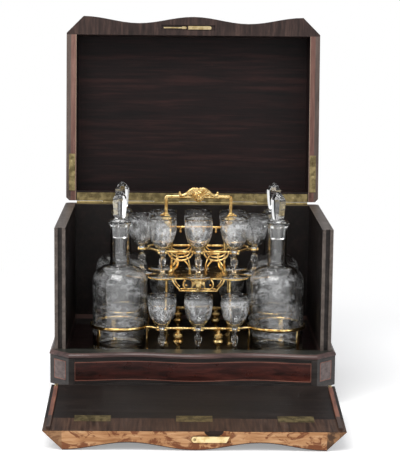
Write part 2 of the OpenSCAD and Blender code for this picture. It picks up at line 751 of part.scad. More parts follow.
base_board();
plinth();
plinth_bead();
floor_board();
left_wall();
right_wall();
rear_wall();
front_panel();
panel_tongues();
panel_plates();
panel_pins();
latch_lever();
lever_screw();
lid_top();
lid_sides();
lid_rear();
lid_front();
lid_strike();
lid_corner_plates();
hinge_lid_leaf();
hinge_body_leaf();
hinge_pin();
lower_tray();
ring_front_left();
ring_front_right();
ring_rear_left();
ring_rear_right();
front_rail();
rear_rail();
rail_feet();
tower_posts();
upper_tray();
tray_apron();
upper_gallery();
handle_arch();
handle();
handle_ornament();
decanter_1();
decanter_2();
decanter_3();
decanter_4();
stopper_1();
stopper_2();
stopper_3();
stopper_4();
lower_glass(0);  // lower_glass_1
lower_glass(1);  // lower_glass_2
lower_glass(2);  // lower_glass_3
lower_glass(3);  // lower_glass_4
lower_glass(4);  // lower_glass_5
lower_glass(5);  // lower_glass_6
upper_glass(0);  // upper_glass_1
upper_glass(1);  // upper_glass_2
upper_glass(2);  // upper_glass_3
upper_glass(3);  // upper_glass_4
upper_glass(4);  // upper_glass_5
upper_glass(5);  // upper_glass_6
upper_glass(6);  // upper_glass_7
upper_glass(7);  // upper_glass_8
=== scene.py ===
import bpy, bmesh, math
import numpy as np
from mathutils import Matrix, Vector


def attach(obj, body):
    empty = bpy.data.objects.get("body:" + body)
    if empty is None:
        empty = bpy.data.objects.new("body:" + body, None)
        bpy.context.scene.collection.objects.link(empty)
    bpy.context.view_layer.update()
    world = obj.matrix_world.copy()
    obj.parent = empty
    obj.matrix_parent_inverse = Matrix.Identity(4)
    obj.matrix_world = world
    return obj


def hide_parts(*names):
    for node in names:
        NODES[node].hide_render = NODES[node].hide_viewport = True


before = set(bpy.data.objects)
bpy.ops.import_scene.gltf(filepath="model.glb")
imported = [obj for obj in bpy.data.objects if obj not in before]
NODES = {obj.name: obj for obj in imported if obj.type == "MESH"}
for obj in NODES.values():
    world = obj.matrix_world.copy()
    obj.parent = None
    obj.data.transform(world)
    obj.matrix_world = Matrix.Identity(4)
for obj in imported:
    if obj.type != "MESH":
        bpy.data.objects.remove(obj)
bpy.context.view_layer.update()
MM = 0.001

# sizes and places of the solids, in millimetres
HALF_W, WALL_T, CANT, WAVE = 165.0, 13.0, 22.0, 8.6
FRONT_Y, WALL_FRONT, REAR_Y = -120.0, -98.0, 120.0
FOOT_H, LAND_Z, RIM_Z = 25.0, 66.0, 212.0
IN_X, IN_REAR = HALF_W - WALL_T, REAR_Y - WALL_T
LID_Z0 = 212.5
HINGE_Y, HINGE_Z, LID_OPEN = 122.2, 212.25, 95.25
TURN_Y, TURN_Z, PANEL_OPEN = -114.0, 26.0, 96.0
PANEL_FACE, PANEL_Z1 = -98.4, 211.4
CX, CY = 6.5, 4.5
STAND, USTAND = 54.6, 141.6
WAVE_STEPS = 28
PLINTH_OUT, PLINTH_WIDER = 2.2, 3.0
LEAN = math.tan(math.radians(22.5))
BLOCK_X = HALF_W - CANT
NOTCH_X, NOTCH_R, NOTCH_DEEP = 21.0, 10.5, 7.2
BAND_W = 39.0
LOW_CLIP, UP_CLIP = 84.5, 171.5
HANDLE_Z, HANDLE_HALF = 236.6, 40.0
ARCH_Z, ARCH_HALF = 198.6, 33.0
DEC = [(x * 96.0, y * 45.0) for y in (-1, 1) for x in (-1, 1)]
LOWER = [(x * 44.0, y * 75.0) for y in (-1, 1) for x in (-1, 0, 1)]
UPPER_ROWS = [[(x * 44.0, y) for x in (-1, 0, 1)] for y in (-31.0, 31.0)]
UPPER = UPPER_ROWS[0] + [(-70.0, 0.0), (70.0, 0.0)] + UPPER_ROWS[1]


def turn(p, y0, z0, deg):
    a = math.radians(deg)
    y, z = p[1] - y0, p[2] - z0
    return (p[0], y0 + y * math.cos(a) - z * math.sin(a), z0 + y * math.sin(a) + z * math.cos(a))


def on_lid(p):
    return turn(p, HINGE_Y, HINGE_Z, -LID_OPEN)


def on_panel(p):
    return turn(p, TURN_Y, TURN_Z, PANEL_OPEN)


def here(p):
    return p


def wave_at(x):
    return WAVE * (1 - math.cos(math.radians(360 * x / BLOCK_X))) / 2


class Mat:
    """Builds one node material."""

    def __init__(self, name):
        self.m = bpy.data.materials.new(name)
        self.m.use_nodes = True
        self.nt = self.m.node_tree
        self.nt.nodes.clear()
        self.out = self.nt.nodes.new("ShaderNodeOutputMaterial")
        self.obj = None

    def put(self, sock, v):
        if isinstance(v, bpy.types.NodeSocket):
            self.nt.links.new(v, sock)
        elif v is not None:
            if hasattr(sock.default_value, "__len__") and not hasattr(v, "__len__"):
                v = [v] * len(sock.default_value)
            if hasattr(v, "__len__") and len(sock.default_value) == 4 and len(v) == 3:
                v = (*v, 1)
            sock.default_value = v

    def new(self, kind, **attrs):
        n = self.nt.nodes.new(kind)
        for k, v in attrs.items():
            setattr(n, k, v)
        return n

    def coord(self):
        if self.obj is None:
            self.obj = self.new("ShaderNodeTexCoord").outputs["Object"]
        return self.obj

    def map(self, v, scale=(1, 1, 1), loc=(0, 0, 0), rot=(0, 0, 0)):
        n = self.new("ShaderNodeMapping")
        self.put(n.inputs["Vector"], v)
        n.inputs["Location"].default_value = loc
        n.inputs["Rotation"].default_value = rot
        n.inputs["Scale"].default_value = scale
        return n.outputs[0]

    def math(self, op, a, b=0.0):
        n = self.new("ShaderNodeMath", operation=op)
        self.put(n.inputs[0], a)
        self.put(n.inputs[1], b)
        return n.outputs[0]

    def sep(self, v):
        n = self.new("ShaderNodeSeparateXYZ")
        self.put(n.inputs[0], v)
        return n.outputs[0], n.outputs[1], n.outputs[2]

    def comb(self, x, y, z):
        n = self.new("ShaderNodeCombineXYZ")
        for s, v in zip(n.inputs, (x, y, z)):
            self.put(s, v)
        return n.outputs[0]

    def noise(self, v, scale, detail=4.0, rough=0.55, dist=0.0):
        n = self.new("ShaderNodeTexNoise")
        self.put(n.inputs["Vector"], v)
        n.inputs["Scale"].default_value = scale
        n.inputs["Detail"].default_value = detail
        n.inputs["Roughness"].default_value = rough
        n.inputs["Distortion"].default_value = dist
        return n.outputs["Fac"]

    def voronoi(self, v, scale, feature="F1"):
        n = self.new("ShaderNodeTexVoronoi", feature=feature)
        self.put(n.inputs["Vector"], v)
        n.inputs["Scale"].default_value = scale
        return n.outputs["Distance"]

    def step(self, v, lo, hi):
        n = self.new("ShaderNodeMapRange", interpolation_type="SMOOTHSTEP")
        self.put(n.inputs["Value"], v)
        n.inputs["From Min"].default_value = lo
        n.inputs["From Max"].default_value = hi
        return n.outputs[0]

    def limit(self, v, at, a, b):
        """Soft step of a coordinate across a place, all in millimetres."""
        return self.step(v, (at + a) * MM, (at + b) * MM)

    def band(self, v, lo, hi, soft):
        rise, fall = self.step(v, lo - soft, lo + soft), self.step(v, hi + soft, hi - soft)
        return self.math("MULTIPLY", rise, fall)

    def ramp(self, v, stops):
        n = self.new("ShaderNodeValToRGB")
        self.put(n.inputs[0], v)
        r = n.color_ramp
        while len(r.elements) < len(stops):
            r.elements.new(0.5)
        for e, (pos, c) in zip(r.elements, stops):
            e.position = pos
            e.color = (*c, 1)
        return n.outputs[0]

    def mix(self, f, a, b):
        n = self.new("ShaderNodeMix", data_type="RGBA")
        self.put(n.inputs[0], f)
        self.put(n.inputs[6], a)
        self.put(n.inputs[7], b)
        return n.outputs[2]

    def bump(self, h, strength, dist):
        n = self.new("ShaderNodeBump")
        n.inputs["Strength"].default_value = strength
        n.inputs["Distance"].default_value = dist
        self.put(n.inputs["Height"], h)
        return n.outputs[0]

    def shader(self, **inputs):
        n = self.new("ShaderNodeBsdfPrincipled")
        for k, v in inputs.items():
            self.put(n.inputs[k.replace("_", " ")], v)
        return n.outputs[0]

    def finish(self, s):
        self.nt.links.new(s, self.out.inputs["Surface"])
        return self.m


def grain(m, v, along):
    """Fine streaks, pores and a blend of fine and broad streaks."""
    sc = [1.0, 1.0, 1.0]
    sc[along] = 0.06
    a = m.noise(m.map(v, scale=sc), 220, 6, 0.6, 0.3)
    b = m.noise(m.map(v, scale=sc), 45, 4, 0.5, 0.8)
    c = m.noise(m.map(v, scale=sc), 900, 2, 0.5)
    return a, c, m.math("ADD", m.math("MULTIPLY", a, 0.6), m.math("MULTIPLY", b, 0.4))


def tones(m, mix, three, at=(0.36, 0.5, 0.66)):
    """Ramp from a dark over a middle to a light tone."""
    return m.ramp(mix, list(zip(at, three)))


def wood(name, three, along=0, rough=0.38, coat=0.1, spec=0.28):
    """Polished wood in three tones, with dark pores."""
    m = Mat(name)
    v = m.coord()
    a, c, mix = grain(m, v, along)
    col = m.mix(m.math("MULTIPLY", m.step(c, 0.56, 0.7), 0.35), tones(m, mix, three), three[0])
    r = m.math("ADD", m.math("MULTIPLY", m.noise(v, 60, 3), 0.22), rough - 0.11)
    s = m.shader(Base_Color=col, Roughness=r, Coat_Weight=coat, Coat_Roughness=0.22,
                 Specular_IOR_Level=spec, Normal=m.bump(m.math("ADD", a, c), 0.25, 0.0004))
    return m.finish(s)


CLEAR = (0.985, 0.99, 0.99)
EBONY = ((0.012, 0.010, 0.0095), (0.026, 0.021, 0.019), (0.05, 0.04, 0.036))
ROSE = ((0.004, 0.0022, 0.0022), (0.0105, 0.0042, 0.004), (0.03, 0.0105, 0.009))

VENEER = ((0.012, 0.004, 0.003), (0.045, 0.011, 0.008), (0.105, 0.026, 0.017))
STRING = ((0.12, 0.045, 0.033), (0.2, 0.08, 0.057), (0.29, 0.13, 0.092))
BLOCK = ((0.07, 0.05, 0.047), (0.125, 0.092, 0.086), (0.185, 0.14, 0.13))
SOCLE = ((0.01, 0.009, 0.009), (0.016, 0.014, 0.013), (0.03, 0.026, 0.024))

M_EBONY = wood("ebonised_x", EBONY)
M_ROSE = wood("rosewood_dark", ROSE, rough=0.42, coat=0.02, spec=0.2)
M_VENEER = wood("plinth_red", VENEER, rough=0.3, coat=0.4)
M_STRING = wood("stringing", STRING, rough=0.4, coat=0.2)
M_BLOCK = wood("corner_block", BLOCK, rough=0.42)
M_SOCLE = wood("foot_wood", SOCLE, rough=0.6, coat=0.0)


def bead_material():
    """Rounded bead: grey-mauve with reddish lights; its flat top is painted grey-green, a painted reflection
    of grazing light.
    """
    m = Mat("bead_wood")
    z = m.sep(m.coord())[2]
    a, c, mix = grain(m, m.coord(), 0)
    at = (0.34, 0.5, 0.68)
    side = tones(m, mix, ((0.028, 0.015, 0.014), (0.07, 0.037, 0.033), (0.135, 0.075, 0.064)), at)
    # painted reflection: the flat top of the land gets a grey-green tone for the grazing reflection it shows
    top = tones(m, mix, ((0.018, 0.019, 0.016), (0.034, 0.035, 0.03), (0.062, 0.062, 0.053)), at)
    col = m.mix(m.limit(z, LAND_Z, -0.35, -0.1), side, top)
    s = m.shader(Base_Color=col, Roughness=0.32, Coat_Weight=0.2, Coat_Roughness=0.2,
                 Specular_IOR_Level=0.35, Normal=m.bump(m.math("ADD", a, c), 0.2, 0.0004))
    return m.finish(s)


def tongue_material():
    """Reddish strips, stained like the cross band where they run over it."""
    m = Mat("tongue_wood")
    y = m.sep(m.coord())[1]
    a = grain(m, m.coord(), 1)[0]
    at = (0.34, 0.5, 0.68)
    red = tones(m, a, ((0.06, 0.02, 0.012), (0.16, 0.055, 0.032), (0.27, 0.105, 0.06)), at)
    dark = tones(m, a, ((0.014, 0.007, 0.005), (0.04, 0.02, 0.013), (0.085, 0.045, 0.03)), at)
    band_y = on_panel((0, PANEL_FACE, PANEL_Z1 - BAND_W))[1]
    col = m.mix(m.limit(y, band_y, 0.5, -0.5), red, dark)
    s = m.shader(Base_Color=col, Roughness=0.45, Coat_Weight=0.1, Coat_Roughness=0.22,
                 Normal=m.bump(a, 0.25, 0.0004))
    return m.finish(s)


def wall_material():
    """Polished outside, near-black inside, grey-brown worn top and front ends."""
    m = Mat("wall_wood")
    v = m.coord()
    x, y, z = m.sep(v)
    ax = m.math("ABSOLUTE", x)
    a, c, mix = grain(m, v, 1)
    out = tones(m, mix, EBONY)
    inside = tones(m, mix, ((0.004, 0.0028, 0.0026), (0.009, 0.006, 0.0052), (0.02, 0.012, 0.01)),
                   (0.36, 0.52, 0.68))
    edge = tones(m, mix, ((0.044, 0.034, 0.03), (0.1, 0.08, 0.069), (0.175, 0.146, 0.124)), (0.3, 0.52, 0.72))
    col = m.mix(m.limit(ax, IN_X, 0.4, 0.1), out, inside)
    top = m.math("MAXIMUM", m.limit(z, RIM_Z, -0.4, -0.1), m.limit(y, WALL_FRONT, 0.5, 0.1))
    well = m.math("MULTIPLY", m.limit(y, IN_REAR, 0.3, -0.1), m.limit(ax, IN_X, -0.2, -0.6))
    col = m.mix(well, col, inside)
    col = m.mix(top, col, edge)
    r = m.math("ADD", m.math("MULTIPLY", m.noise(v, 60, 3), 0.25), 0.3)
    s = m.shader(Base_Color=col, Roughness=r, Coat_Weight=0.03, Coat_Roughness=0.25,
                 Specular_IOR_Level=0.24, Normal=m.bump(m.math("ADD", a, c), 0.22, 0.0004))
    return m.finish(s)


def lid_rim_material():
    """Grey-brown outside, pink-brown rim with a pale inner line, dark inside."""
    m = Mat("lid_rim_wood")
    v = m.coord()
    x, y, z = m.sep(v)
    ax = m.math("ABSOLUTE", x)
    a, c, mix = grain(m, v, 2)
    at = (0.32, 0.5, 0.7)
    grey = tones(m, mix, ((0.05, 0.036, 0.031), (0.096, 0.07, 0.06), (0.15, 0.112, 0.095)), at)
    pink = tones(m, mix, ((0.075, 0.034, 0.027), (0.155, 0.078, 0.062), (0.25, 0.14, 0.11)), at)
    pale = m.ramp(mix, [(0.3, (0.2, 0.13, 0.1)), (0.7, (0.36, 0.26, 0.19))])
    dark = tones(m, mix, ROSE, at)
    out = tones(m, mix, EBONY)
    col = m.mix(m.limit(ax, HALF_W, -5.6, -6.2), grey, pink)
    col = m.mix(m.limit(ax, IN_X, 1.2, 0.8), col, pale)
    col = m.mix(m.limit(ax, IN_X, 0.3, 0.1), col, dark)
    col = m.mix(m.limit(ax, HALF_W, -0.4, -0.1), col, out)
    s = m.shader(Base_Color=col, Roughness=0.38, Coat_Weight=0.06, Coat_Roughness=0.2,
                 Specular_IOR_Level=0.25, Normal=m.bump(m.math("ADD", a, c), 0.25, 0.0004))
    return m.finish(s)


def lid_front_material():
    """Cross-grained front rail: streaks run across the rail's short side."""
    m = Mat("lid_front_wood")
    v = m.coord()
    a = m.noise(m.map(v, scale=(1, 0.25, 0.12)), 300, 5, 0.6, 0.2)
    b = m.noise(m.map(v, scale=(1, 0.3, 0.1)), 70, 4, 0.5, 0.6)
    mix = m.math("ADD", m.math("MULTIPLY", a, 0.55), m.math("MULTIPLY", b, 0.45))
    col = tones(m, mix, ((0.012, 0.008, 0.007), (0.035, 0.021, 0.018), (0.085, 0.05, 0.04)),
                (0.34, 0.5, 0.68))
    s = m.shader(Base_Color=col, Roughness=0.36, Coat_Weight=0.06, Coat_Roughness=0.2,
                 Specular_IOR_Level=0.25, Normal=m.bump(a, 0.25, 0.0004))
    return m.finish(s)


def panel_material():
    """Dark inner face, cross band, raw edge with glue stains, polished front."""
    m = Mat("panel_wood")
    moved = m.map(m.coord(), loc=(0, -TURN_Y * MM, -TURN_Z * MM))
    closed = m.map(moved, rot=(math.radians(-PANEL_OPEN), 0, 0))
    x, y, z = m.sep(closed)
    y = m.math("ADD", y, TURN_Y * MM)
    z = m.math("ADD", z, TURN_Z * MM)
    ax = m.math("ABSOLUTE", x)
    a, c, mix = grain(m, closed, 0)
    face = tones(m, mix, ((0.005, 0.0036, 0.0034), (0.010, 0.0066, 0.0056), (0.024, 0.016, 0.0128)),
                 (0.3, 0.5, 0.7))
    cloud = m.noise(closed, 14, 5, 0.6, 0.5)
    face = m.mix(m.math("MULTIPLY", m.step(cloud, 0.5, 0.72), 0.4), face, (0.04, 0.03, 0.025))
    across = m.noise(m.map(closed, scale=(1, 1, 0.08)), 260, 5, 0.6, 0.2)
    band = tones(m, across, ((0.016, 0.008, 0.006), (0.048, 0.025, 0.0165), (0.1, 0.055, 0.036)),
                 (0.32, 0.5, 0.7))
    face = m.mix(m.limit(z, PANEL_Z1 - BAND_W, 0, 0.6), face, band)
    scratch = m.noise(m.map(closed, scale=(0.15, 1, 1), rot=(0, 0.5, 0)), 700, 2, 0.5)
    face = m.mix(m.math("MULTIPLY", m.step(scratch, 0.68, 0.74), 0.25), face, (0.2, 0.16, 0.13))
    # raw wood of the edge, with red-brown glue stains that thicken toward the outer face
    raw_a = m.noise(m.map(closed, scale=(0.12, 1, 1)), 240, 5, 0.6, 0.4)
    raw = tones(m, raw_a, ((0.24, 0.1, 0.038), (0.43, 0.22, 0.1), (0.6, 0.36, 0.19)), (0.3, 0.5, 0.72))
    stain = m.noise(m.map(closed, scale=(0.6, 1, 1)), 75, 4, 0.65, 1.6)
    low = m.limit(y, PANEL_FACE, -9, -19)
    where = m.math("ADD", stain, m.math("MULTIPLY", low, 0.12))
    raw = m.mix(m.math("MULTIPLY", m.step(where, 0.5, 0.62), 0.9), raw, (0.15, 0.045, 0.018))
    # darker end blocks, of which the right one is worn
    raw = m.mix(m.math("MULTIPLY", m.limit(ax, BLOCK_X, 0.2, 0.8), 0.65), raw, (0.2, 0.11, 0.055))
    worn = m.math("MULTIPLY", m.limit(x, BLOCK_X, 0.2, 0.8), m.step(m.noise(closed, 110, 4, 0.6), 0.4, 0.56))
    raw = m.mix(m.math("MULTIPLY", worn, 0.85), raw, (0.05, 0.028, 0.018))
    # painted shade: the notch in the near edge is painted near-black as the shade inside its hollow
    nx = m.math("DIVIDE", m.math("SUBTRACT", x, NOTCH_X * MM), NOTCH_R * MM)
    ny = m.math("DIVIDE", m.math("SUBTRACT", y, PANEL_FACE * MM), NOTCH_DEEP * MM)
    notch_shade = m.math("ADD", m.math("MULTIPLY", nx, nx), m.math("MULTIPLY", ny, ny))
    raw = m.mix(m.step(notch_shade, 1.06, 0.94), raw, (0.022, 0.013, 0.01))
    # the veneer on the waved front shows as a dark line on the raw edge
    turns = m.math("MULTIPLY", x, 2 * math.pi / (BLOCK_X * MM))
    wave = m.math("MULTIPLY", m.math("SUBTRACT", 1.0, m.math("COSINE", turns)), WAVE * MM / 2)
    depth = m.math("SUBTRACT", m.math("SUBTRACT", y, FRONT_Y * MM), wave)
    skin = m.math("MULTIPLY", m.step(depth, 0.0011, 0.0008), m.limit(ax, BLOCK_X, 0.2, -0.2))
    raw = m.mix(skin, raw, (0.06, 0.035, 0.025))
    col = m.mix(m.limit(y, PANEL_FACE, -0.5, -0.2), tones(m, mix, EBONY), face)
    near_edge = m.limit(z, PANEL_Z1, -2.6, -2.4)
    end_face = m.limit(z, PANEL_Z1, -0.05, -0.02)
    off_inner = m.math("SUBTRACT", 1.0, m.limit(y, PANEL_FACE, -0.25, -0.1))
    col = m.mix(m.math("MULTIPLY", near_edge, m.math("MAXIMUM", end_face, off_inner)), col, raw)
    s = m.shader(Base_Color=col, Roughness=m.mix(near_edge, 0.42, 0.75), Coat_Weight=0.02, Coat_Roughness=0.3,
                 Specular_IOR_Level=0.2, Normal=m.bump(m.math("ADD", a, raw_a), 0.25, 0.0004))
    return m.finish(s)


def gilt_material(name, tone, deep, rough):
    """Metal with clouded tone and small bright worn spots."""
    m = Mat(name)
    v = m.coord()
    n1 = m.noise(v, 120, 4, 0.6)
    n2 = m.noise(v, 900, 3, 0.6)
    col = m.mix(m.step(n1, 0.38, 0.62), deep, tone)
    col = m.mix(m.math("MULTIPLY", m.step(n2, 0.6, 0.75), 0.4), col, (0.98, 0.8, 0.45))
    r = m.math("ADD", m.math("MULTIPLY", n1, 0.28), rough - 0.13)
    s = m.shader(Base_Color=col, Metallic=1.0, Roughness=r,
                 Normal=m.bump(m.math("ADD", n1, n2), 0.35, 0.0003))
    return m.finish(s)


def clear_glass(name):
    m = Mat(name)
    return m.finish(m.shader(Base_Color=CLEAR, Roughness=0.0, IOR=1.5, Transmission_Weight=1.0))


def glass_material(name, z_lo, z_hi, density, haze):
    """Crystal engraved with sprays on its outer side between two heights."""
    m = Mat(name)
    x, y, z = m.sep(m.coord())
    around = m.math("MULTIPLY", m.math("ARCTAN2", y, x), 0.016)
    p = m.comb(around, z, 0.0)
    warp = m.noise(p, 160, 3, 0.6)
    q = m.comb(m.math("ADD", around, m.math("MULTIPLY", warp, 0.004)),
               m.math("ADD", z, m.math("MULTIPLY", warp, 0.006)), 0.0)
    leaves = m.step(m.voronoi(q, 430), 0.36, 0.24)
    stems = m.step(m.voronoi(q, 230, "DISTANCE_TO_EDGE"), 0.08, 0.035)
    petals = m.step(m.noise(q, 760, 2, 0.5), 0.54, 0.64)
    cut = m.math("MAXIMUM", m.math("MAXIMUM", leaves, stems), petals)
    sprays = m.step(m.noise(p, 70, 2, 0.5), 0.42, 0.56)
    spray = m.math("MULTIPLY", m.math("MULTIPLY", cut, sprays), density - haze)
    facing = m.new("ShaderNodeVectorMath", operation="DOT_PRODUCT")
    m.put(facing.inputs[0], m.new("ShaderNodeTexCoord").outputs["Normal"])
    m.put(facing.inputs[1], m.comb(x, y, 0.0))
    outside = m.step(facing.outputs["Value"], 0.0, 0.0005)
    band = m.math("MULTIPLY", m.band(z, z_lo, z_hi, 0.002), outside)
    clear = m.shader(Base_Color=CLEAR, Roughness=0.0, IOR=1.5, Transmission_Weight=1.0)
    frost = m.shader(Base_Color=(0.93, 0.94, 0.95), Roughness=0.55, Transmission_Weight=0.1)
    mixed = m.new("ShaderNodeMixShader")
    m.put(mixed.inputs[0], m.math("MULTIPLY", band, m.math("ADD", spray, haze)))
    m.put(mixed.inputs[1], clear)
    m.put(mixed.inputs[2], frost)
    return m.finish(mixed.outputs[0])


M_WALL = wall_material()
M_LID_RIM = lid_rim_material()
M_GILT = gilt_material("gilt", (0.88, 0.66, 0.3), (0.45, 0.26, 0.08), 0.22)
M_BRASS = gilt_material("aged_brass", (0.34, 0.27, 0.13), (0.16, 0.125, 0.06), 0.48)
M_TRAY = gilt_material("dark_tray", (0.1, 0.075, 0.045), (0.035, 0.026, 0.018), 0.5)
M_BRIGHT = gilt_material("bright_brass", (0.85, 0.68, 0.38), (0.62, 0.45, 0.2), 0.3)
M_SCREW = gilt_material("screw_brass", (0.5, 0.4, 0.2), (0.14, 0.1, 0.05), 0.4)
M_GLASS = glass_material("glass_engraved", 0.044, 0.068, 0.48, 0.07)
M_DECANTER = glass_material("decanter_engraved", 0.02, 0.096, 0.24, 0.02)
M_STOPPER = clear_glass("stopper_glass")


DRESS = {
    "base_board": M_SOCLE, "plinth": M_EBONY, "plinth_bead": bead_material(), "floor_board": M_ROSE,
    "left_wall": M_WALL, "right_wall": M_WALL, "rear_wall": M_WALL,
    "front_panel": panel_material(), "panel_tongues": tongue_material(), "panel_plates": M_BRASS,
    "panel_pins": M_BRIGHT, "latch_lever": M_BRIGHT, "lever_screw": M_SCREW,
    "lid_top": M_ROSE, "lid_sides": M_LID_RIM, "lid_rear": M_LID_RIM, "lid_front": lid_front_material(),
    "lid_strike": M_BRIGHT, "lid_corner_plates": M_BRASS,
    "hinge_lid_leaf": M_BRASS, "hinge_body_leaf": M_BRASS, "hinge_pin": M_SCREW, "lower_tray": M_TRAY,
}
for n in ("ring_front_left", "ring_front_right", "ring_rear_left", "ring_rear_right", "front_rail",
          "rear_rail", "rail_feet", "tower_posts", "upper_tray", "tray_apron", "upper_gallery", "handle_arch",
          "handle", "handle_ornament"):
    DRESS[n] = M_GILT
for n, mat in DRESS.items():
    NODES[n].data.materials.clear()
    NODES[n].data.materials.append(mat)
SHARP_WOOD = ("base_board", "plinth", "left_wall", "right_wall", "rear_wall", "front_panel", "lid_sides",
              "lid_rear", "lid_front")
for n in SHARP_WOOD:
    soft = NODES[n].modifiers.new("soft_edges", "BEVEL")
    soft.width, soft.segments = 0.0004, 2
    soft.limit_method, soft.angle_limit = "ANGLE", math.radians(50)


def data_mesh(name, verts, faces, mat, smooth=True, place=here):
    """Closed mesh in metres from points in millimetres, with doubled points merged."""
    me = bpy.data.meshes.new(name)
    me.from_pydata([Vector(place(p)) * MM for p in verts], [], faces)
    me.update()
    bm = bmesh.new()
    bm.from_mesh(me)
    bmesh.ops.remove_doubles(bm, verts=bm.verts, dist=2e-7)
    bmesh.ops.recalc_face_normals(bm, faces=bm.faces)
    bm.to_mesh(me)
    bm.free()
    me.materials.append(mat)
    if smooth:
        me.shade_smooth()
    return me


def add(name, mesh, body, reps=(), at=(0, 0, 0), rz=0.0):
    """Mesh as a piece that rides on a body and stands in for some nodes."""
    o = bpy.data.objects.new(name, mesh)
    o.location = Vector(at) * MM
    o.rotation_euler = (0, 0, rz)
    bpy.context.collection.objects.link(o)
    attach(o, body)
    if reps:
        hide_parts(*reps)


def piece(name, part, mat, body, reps=(), smooth=True, place=here):
    add(name, data_mesh(name, *part, mat, smooth, place), body, reps)


def quads(a, b, n, loop=True):
    """Faces between two rows of n points that start at the indices a and b."""
    steps = n if loop else n - 1
    return [[a + k, a + (k + 1) % n, b + (k + 1) % n, b + k] for k in range(steps)]


def lathe_data(profile, seg=72):
    """Turned form from (radius, height) points."""
    verts, rings = [], []
    for r, z in profile:
        if r < 1e-6:
            rings.append([len(verts)] * seg)
            verts.append((0, 0, z))
            continue
        rings.append(list(range(len(verts), len(verts) + seg)))
        for k in range(seg):
            a = 2 * math.pi * k / seg
            verts.append((r * math.cos(a), r * math.sin(a), z))
    faces = []
    for a, b in zip(rings, rings[1:]):
        for k in range(seg):
            q = list(dict.fromkeys([a[k], a[(k + 1) % seg], b[(k + 1) % seg], b[k]]))
            if len(q) > 2:
                faces.append(q)
    return verts, faces


def smooth_line(pts, n=6):
    """Catmull-Rom curve through 2-D or 3-D points, with n steps to each span."""
    p = [np.array(q, float) for q in pts]
    p = [2 * p[0] - p[1]] + p + [2 * p[-1] - p[-2]]
    out = []
    for a, b, c, d in zip(p, p[1:], p[2:], p[3:]):
        for k in range(n):
            t = k / n
            square, cube = (2 * a - 5 * b + 4 * c - d) * t * t, (3 * b - a - 3 * c + d) * t ** 3
            out.append(0.5 * (2 * b + (c - a) * t + square + cube))
    out.append(p[-2])
    return out


def sweep(pts, radius, seg=14, flat=1.0, ends=True):
    """Round or flattened tube along 3-D points; the radius may be a list."""
    p = [np.array(q, float) for q in pts]
    n = len(p)
    rad = list(radius) if hasattr(radius, "__len__") else [radius] * n
    t = [p[min(i + 1, n - 1)] - p[max(i - 1, 0)] for i in range(n)]
    t = [v / np.linalg.norm(v) for v in t]
    up = np.array([0, 1.0, 0]) if abs(t[0][1]) < 0.9 else np.array([1.0, 0, 0])
    side = np.cross(t[0], up)
    side /= np.linalg.norm(side)
    verts, faces = [], []
    for i in range(n):
        side = side - t[i] * side.dot(t[i])
        side /= np.linalg.norm(side)
        nrm = np.cross(t[i], side)
        for k in range(seg):
            a = 2 * math.pi * k / seg
            verts.append(tuple(p[i] + rad[i] * (side * math.cos(a) + nrm * flat * math.sin(a))))
        if i:
            faces += quads((i - 1) * seg, i * seg, seg)
    if ends:
        faces.append(list(range(seg))[::-1])
        faces.append([(n - 1) * seg + k for k in range(seg)])
    return verts, faces


def join(*parts):
    verts, faces = [], []
    for v, f in parts:
        k = len(verts)
        verts += list(v)
        faces += [[i + k for i in q] for q in f]
    return verts, faces


def shift(part, d):
    return [(p[0] + d[0], p[1] + d[1], p[2] + d[2]) for p in part[0]], part[1]


def ball(at, r, squash=(1, 1, 1), u=14, w=8):
    """Ball or egg with u facets round and w from pole to pole."""
    verts, faces = [], []
    for i in range(w + 1):
        for k in range(u):
            a, b = math.pi * i / w, 2 * math.pi * k / u
            way = (math.sin(a) * math.cos(b), math.sin(a) * math.sin(b), math.cos(a))
            verts.append(tuple(at[j] + r * squash[j] * way[j] for j in range(3)))
        if i:
            faces += quads((i - 1) * u, i * u, u)
    return verts, faces


def swell(n, r, more):
    """Radii that grow from r by `more` at mid-length."""
    return [r + more * math.sin(math.pi * i / (n - 1)) for i in range(n)]


def knobbed(n, r, k, deep):
    """Radii along a rod that swells k times, as cast leaf work does."""
    return [r * (1 + deep * abs(math.sin(math.pi * k * i / (n - 1)))) for i in range(n)]


# glasses
GLASS_H, BOWL_Z, BOWL_R, BOWL_WALL = 73.0, 32.5, 17.3, 1.1
BULGE_Z0, BULGE_Z1 = 11.5, 23.5


def bowl(r, z0, z1, a0, n=22, end=106.0):
    """Profile of a bowl from the angle a0 at its foot to its rim."""
    full = 1 - math.cos(math.radians(end))
    out = []
    for i in range(n + 1):
        a = math.radians(a0 + (end - a0) * i / n)
        out.append((r * math.sin(a), z0 + (z1 - z0) * (1 - math.cos(a)) / full))
    return out


def glass():
    """Liqueur glass whose stem bulges and is cut into six flats."""
    stem = [(15.4, 0.35), (15.3, 0.95), (11, 1.6), (6, 2.6), (3.2, 4.4), (2.4, 6.5), (2.15, 9), (2.4, 11),
            (3.3, 14), (4.5, 18.4), (4.3, 21), (3, 23.2), (2.3, 25), (2.2, 28), (2.5, 30), (3.3, 31.4)]
    profile = [(0, 0), (14.8, 0)] + [tuple(q) for q in smooth_line(stem, 4)]
    profile += bowl(BOWL_R, BOWL_Z, GLASS_H, 14)
    rim_r = profile[-1][0]
    profile += [(rim_r - 0.25, GLASS_H), (rim_r - BOWL_WALL * 0.8, GLASS_H - 0.15)]
    profile += bowl(BOWL_R - BOWL_WALL, BOWL_Z + 2.2, GLASS_H - 0.3, 6)[::-1] + [(0, BOWL_Z + 2.2)]
    verts, faces = lathe_data(profile)
    out = []
    for x, y, z in verts:
        if BULGE_Z0 < z < BULGE_Z1:
            r, a = math.hypot(x, y), math.atan2(y, x)
            fade = min(1, min(z - BULGE_Z0, BULGE_Z1 - z) / 3)
            k = 1 - 0.085 * fade * (1 - abs(math.cos(3 * a)) ** 1.5)
            x, y = r * k * math.cos(a), r * k * math.sin(a)
        out.append((x, y, z))
    return out, faces


